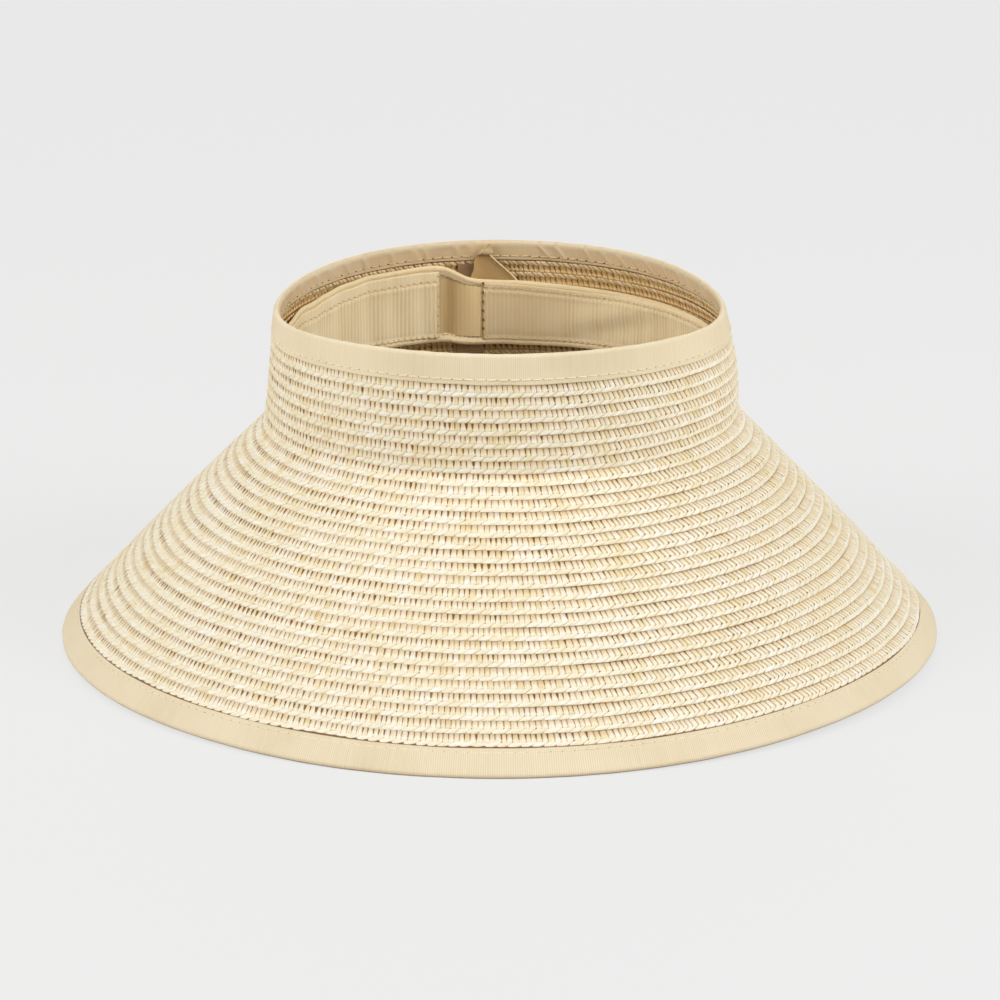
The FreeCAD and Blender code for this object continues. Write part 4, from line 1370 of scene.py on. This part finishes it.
def tab_sheet(
    name, left, right, low, high, offset, thick, rows, columns, rib_direction, curl, shade
):
    """A sheet between the edges x = left(z) and x = right(z).

    rib_direction is the (x, z) direction across the ribs; curl(z, part) moves the sheet
    towards the head and shade(z, part) darkens it, with part 0 to 1 from left to right.
    """
    levels = np.linspace(low, high, rows)
    part = np.linspace(0, 1, columns)
    dir_x, dir_z = rib_direction
    points, values, u_rows, v_rows = [], [], [], []
    for on_face, z in [(True, z) for z in levels] + [(False, z) for z in levels[::-1]]:
        x = left(z) + (right(z) - left(z)) * part
        across = x * dir_x + z * dir_z
        rib = 0.5 + 0.5 * np.cos(TURN * across / 0.75)
        radius = tab_radius(z) + (1 - smooth(z, 121.0, 127.0)) * 0.45 + offset
        radius = radius - curl(z, part) + (-rib * 0.045 if on_face else thick)
        points.append(polar(radius, tab_angle(x), z))
        values.append(dict(rib=rib, shade=shade(z, part)))
        u_rows.append(across + 50)
        v_rows.append(-x * dir_z + z * dir_x + 50)
    return grid_object(
        name, points, np.array(u_rows), np.array(v_rows), stack_values(values, columns)
    )


def bend_with_strap(piece):
    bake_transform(piece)


# (z, x) of the edges of the tab and of its folded tip
TAB_LEFT = through(
    (121.0, -13.2), (124.2, -13.0), (125.9, -12.7), (129.6, -11.5), (133.4, -11.3),
    (136.3, -9.9), (138.4, -8.0), (141.2, -5.0))
TAB_RIGHT = through(
    (121.0, 9.6), (124.2, 7.2), (127.1, 4.7), (130.25, 1.4), (133.4, -1.96),
    (136.3, -4.65), (138.0, -4.9), (141.2, -4.6))
TIP_LEFT = through((135.9, -10.2), (136.3, -10.0), (138.4, -8.1), (141.4, -5.0))
TIP_RIGHT = through(
    (135.9, -4.9), (136.5, -4.0), (137.4, -3.3), (138.3, -3.7), (139.6, -4.3), (141.4, -4.2))
TAB_RIBS = (0.80, 0.60)


def tab_curl(z, part):
    ripple = 0.16 * np.sin(part * 5 + z * 0.2)
    return 0.42 * bump(part, 0.0, 0.10) + ripple - 0.25 * bump(part, 0.35, 0.25)


def tab_shade(z, part):
    side = 0.16 * smooth(part, 0.05, 0.35) * (1 - 0.5 * smooth(z, 132, 136))
    return 0.10 + side + 0.14 * bump(z, 135.8, 0.9)


def tip_curl(z, part):
    fold = 0.45 * bump(z, 137.2, 1.4) - 0.25 * bump(z, 135.9, 0.4)
    return fold + 0.25 * bump(part, 0.0, 0.2) + 0.30 * bump(part, 1.0, 0.15)


def tip_shade(z, part):
    # painted shade over the tip, with its edges lifted lighter as a painted highlight
    sides = 0.18 * bump(part, 0.0, 0.12) + 0.12 * bump(part, 1.0, 0.10)
    return 0.24 + 0.26 * bump(z, 135.9, 1.2) - sides


tab = tab_sheet(
    "pull_tab_ribbon", TAB_LEFT, TAB_RIGHT, low=121.0, high=141.0, offset=0.08, thick=0.40,
    rows=34, columns=60, rib_direction=TAB_RIBS, curl=tab_curl, shade=tab_shade,
)
add(tab, STRAP, "pull_tab", body=None)
bend_with_strap(tab)

tip = tab_sheet(
    "pull_tab_folded_tip", TIP_LEFT, TIP_RIGHT, low=135.9, high=141.3, offset=-0.50,
    thick=0.40, rows=18, columns=24, rib_direction=(0.95, -0.31),
    curl=tip_curl, shade=tip_shade,
)
# the folded tip takes the paler tape material, a lighter copy of the tab's ribbon as painted
# highlight
add(tip, HEM, "pull_tab", body="pull_tab")

tab_hem = tab_sheet(
    "pull_tab_hem", lambda z: TAB_RIGHT(z) - 0.62, lambda z: TAB_RIGHT(z) + 0.38,
    low=123.0, high=136.2, offset=-0.25, thick=0.60, rows=22, columns=10,
    rib_direction=TAB_RIBS, shade=lambda z, part: 0.0,
    curl=lambda z, part: 0.34 * np.sqrt(np.clip(1 - (2 * part - 1) ** 2, 0, 1)),
)
# the hem takes the paler tape material, painted lighter as a highlight along the tab's folded
# edge
add(tab_hem, HEM, "pull_tab", body=None)
bend_with_strap(tab_hem)


def tab_curve(distance):
    """A line down the tab, just inside its right edge."""
    z = 134.8 - distance * 0.70
    angle = tab_angle(TAB_RIGHT(z) - 1.6)
    position = polar(tab_radius(z) - 0.02, angle, z)
    return position, np.array([0.66, 0.0, -0.75]), -polar(1.0, angle, 0.0)


stitch_row(
    "pull_tab_stitches", "pull_tab_stitch", tab_curve, total=4.8, thread=THREAD_BAND,
    seed=65, pitch=2.2, length=1.6, radius=0.10, lift=0.08, start=0.0, sag=0.1,
    body="pull_tab",
)

# the tacks keep their CAD shape
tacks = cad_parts["sweatband_tacks"]
tacks.data.materials.clear()
tacks.data.materials.append(THREAD_BAND)


# ---------------------------------------------------- floor, lights and camera
BACKDROP = 0.82   # brightness of the world and of the far floor, as the camera sees them


def floor_material():
    """Pale paper for the camera, fading into the world; a plain table for other rays."""
    shader = Shader("studio_paper")

    def emission(strength):
        node = shader.new("ShaderNodeEmission")
        shader.feed(node, Color=(1.0, 1.0, 1.0, 1), Strength=strength)
        return node.outputs[0]

    def join(kind, *sources):
        node = shader.new(kind)
        for socket, source in zip(node.inputs, sources):
            shader.link(source, socket)
        return node.outputs[0]

    glow = emission(0.664)
    shader.feed(shader.surface, Base_Color=(0.17, 0.17, 0.17, 1), Roughness=1.0)
    shader.feed(shader.surface, Specular_IOR_Level=0.0)
    paper = join("ShaderNodeAddShader", shader.surface.outputs[0], glow)
    # far away the paper takes the world's tone, so no horizon shows
    geometry = shader.new("ShaderNodeNewGeometry")
    distance = shader.new("ShaderNodeVectorMath", operation="LENGTH")
    shader.link(geometry.outputs["Position"], distance.inputs[0])
    far = shader.new("ShaderNodeMapRange", interpolation_type="SMOOTHSTEP")
    shader.feed(far, From_Min=1.6, From_Max=4.6, Value=distance.outputs["Value"])
    haze = emission(BACKDROP)
    seen = join("ShaderNodeMixShader", far.outputs["Result"], paper, haze)
    table = shader.new("ShaderNodeBsdfDiffuse")
    shader.feed(table, Color=(0.55, 0.52, 0.47, 1))
    ray = shader.new("ShaderNodeLightPath").outputs["Is Camera Ray"]
    result = join("ShaderNodeMixShader", ray, table.outputs[0], seen)
    shader.feed(shader.find("OUTPUT_MATERIAL"), Surface=result)
    return shader.material


def add_floor():
    half = 7.0
    mesh = bpy.data.meshes.new("seamless_floor")
    corners = [(x, y, 0.0) for y in (-half, half) for x in (-half, half)]
    mesh.from_pydata(corners, [], [(0, 1, 3, 2)])
    mesh.polygons[0].use_smooth = True
    floor = bpy.data.objects.new("seamless_floor", mesh)
    bpy.context.scene.collection.objects.link(floor)
    mesh.materials.append(floor_material())


def aim(piece, target):
    direction = Vector(target) - Vector(piece.location)
    piece.rotation_euler = direction.to_track_quat("-Z", "Y").to_euler()
    bpy.context.scene.collection.objects.link(piece)


def add_softbox(name, location, target_z, size, power, color):
    light = bpy.data.lights.new(name, "AREA")
    light.energy = power
    light.color = color
    light.shape = "RECTANGLE"
    light.size = size
    light.size_y = size
    softbox = bpy.data.objects.new(name, light)
    softbox.location = location
    aim(softbox, (0, 0, target_z))


def add_world():
    """The camera sees the backdrop's tone; the world's light is softer."""
    world = bpy.data.worlds.new("studio")
    bpy.context.scene.world = world
    world.use_nodes = True
    tree = world.node_tree
    background = tree.nodes["Background"]
    background.inputs["Color"].default_value = (1.0, 1.0, 1.0, 1)
    ray = tree.nodes.new("ShaderNodeLightPath")
    level = tree.nodes.new("ShaderNodeMapRange")
    level.inputs["To Min"].default_value = 0.32
    level.inputs["To Max"].default_value = BACKDROP
    tree.links.new(ray.outputs["Is Camera Ray"], level.inputs["Value"])
    tree.links.new(level.outputs["Result"], background.inputs["Strength"])


def add_camera():
    lens = bpy.data.cameras.new("camera")
    lens.sensor_width = 36.0
    lens.lens = 161.5
    lens.clip_end = 20.0
    lens.shift_x = -0.0005
    camera = bpy.data.objects.new("camera", lens)
    camera.location = (0.0, -1.7708, 0.6065)
    aim(camera, (0, 0, 0.0540))
    bpy.context.scene.camera = camera


add_floor()
# name, location, height aimed at, size, power, colour
for row in (
    ("key_softbox", (1.8, -0.8, 1.35), 0.08, 1.3, 33.0, (1.0, 0.995, 0.985)),
    ("fill_softbox", (-1.8, -0.8, 1.25), 0.08, 1.3, 29.8, (1.0, 0.985, 0.955)),
    ("top_softbox", (0.0, -0.5, 2.0), 0.05, 1.6, 3.0, (1, 1, 1)),
    ("front_softbox", (0.0, -2.3, 1.35), 0.08, 1.6, 6.2, (1.0, 0.995, 0.98)),
    ("back_softbox", (0.0, 2.1, 1.2), 0.08, 1.6, 11.0, (1.0, 0.99, 0.97)),
):
    add_softbox(*row)
add_world()
add_camera()
bpy.context.scene.view_settings.view_transform = "Standard"
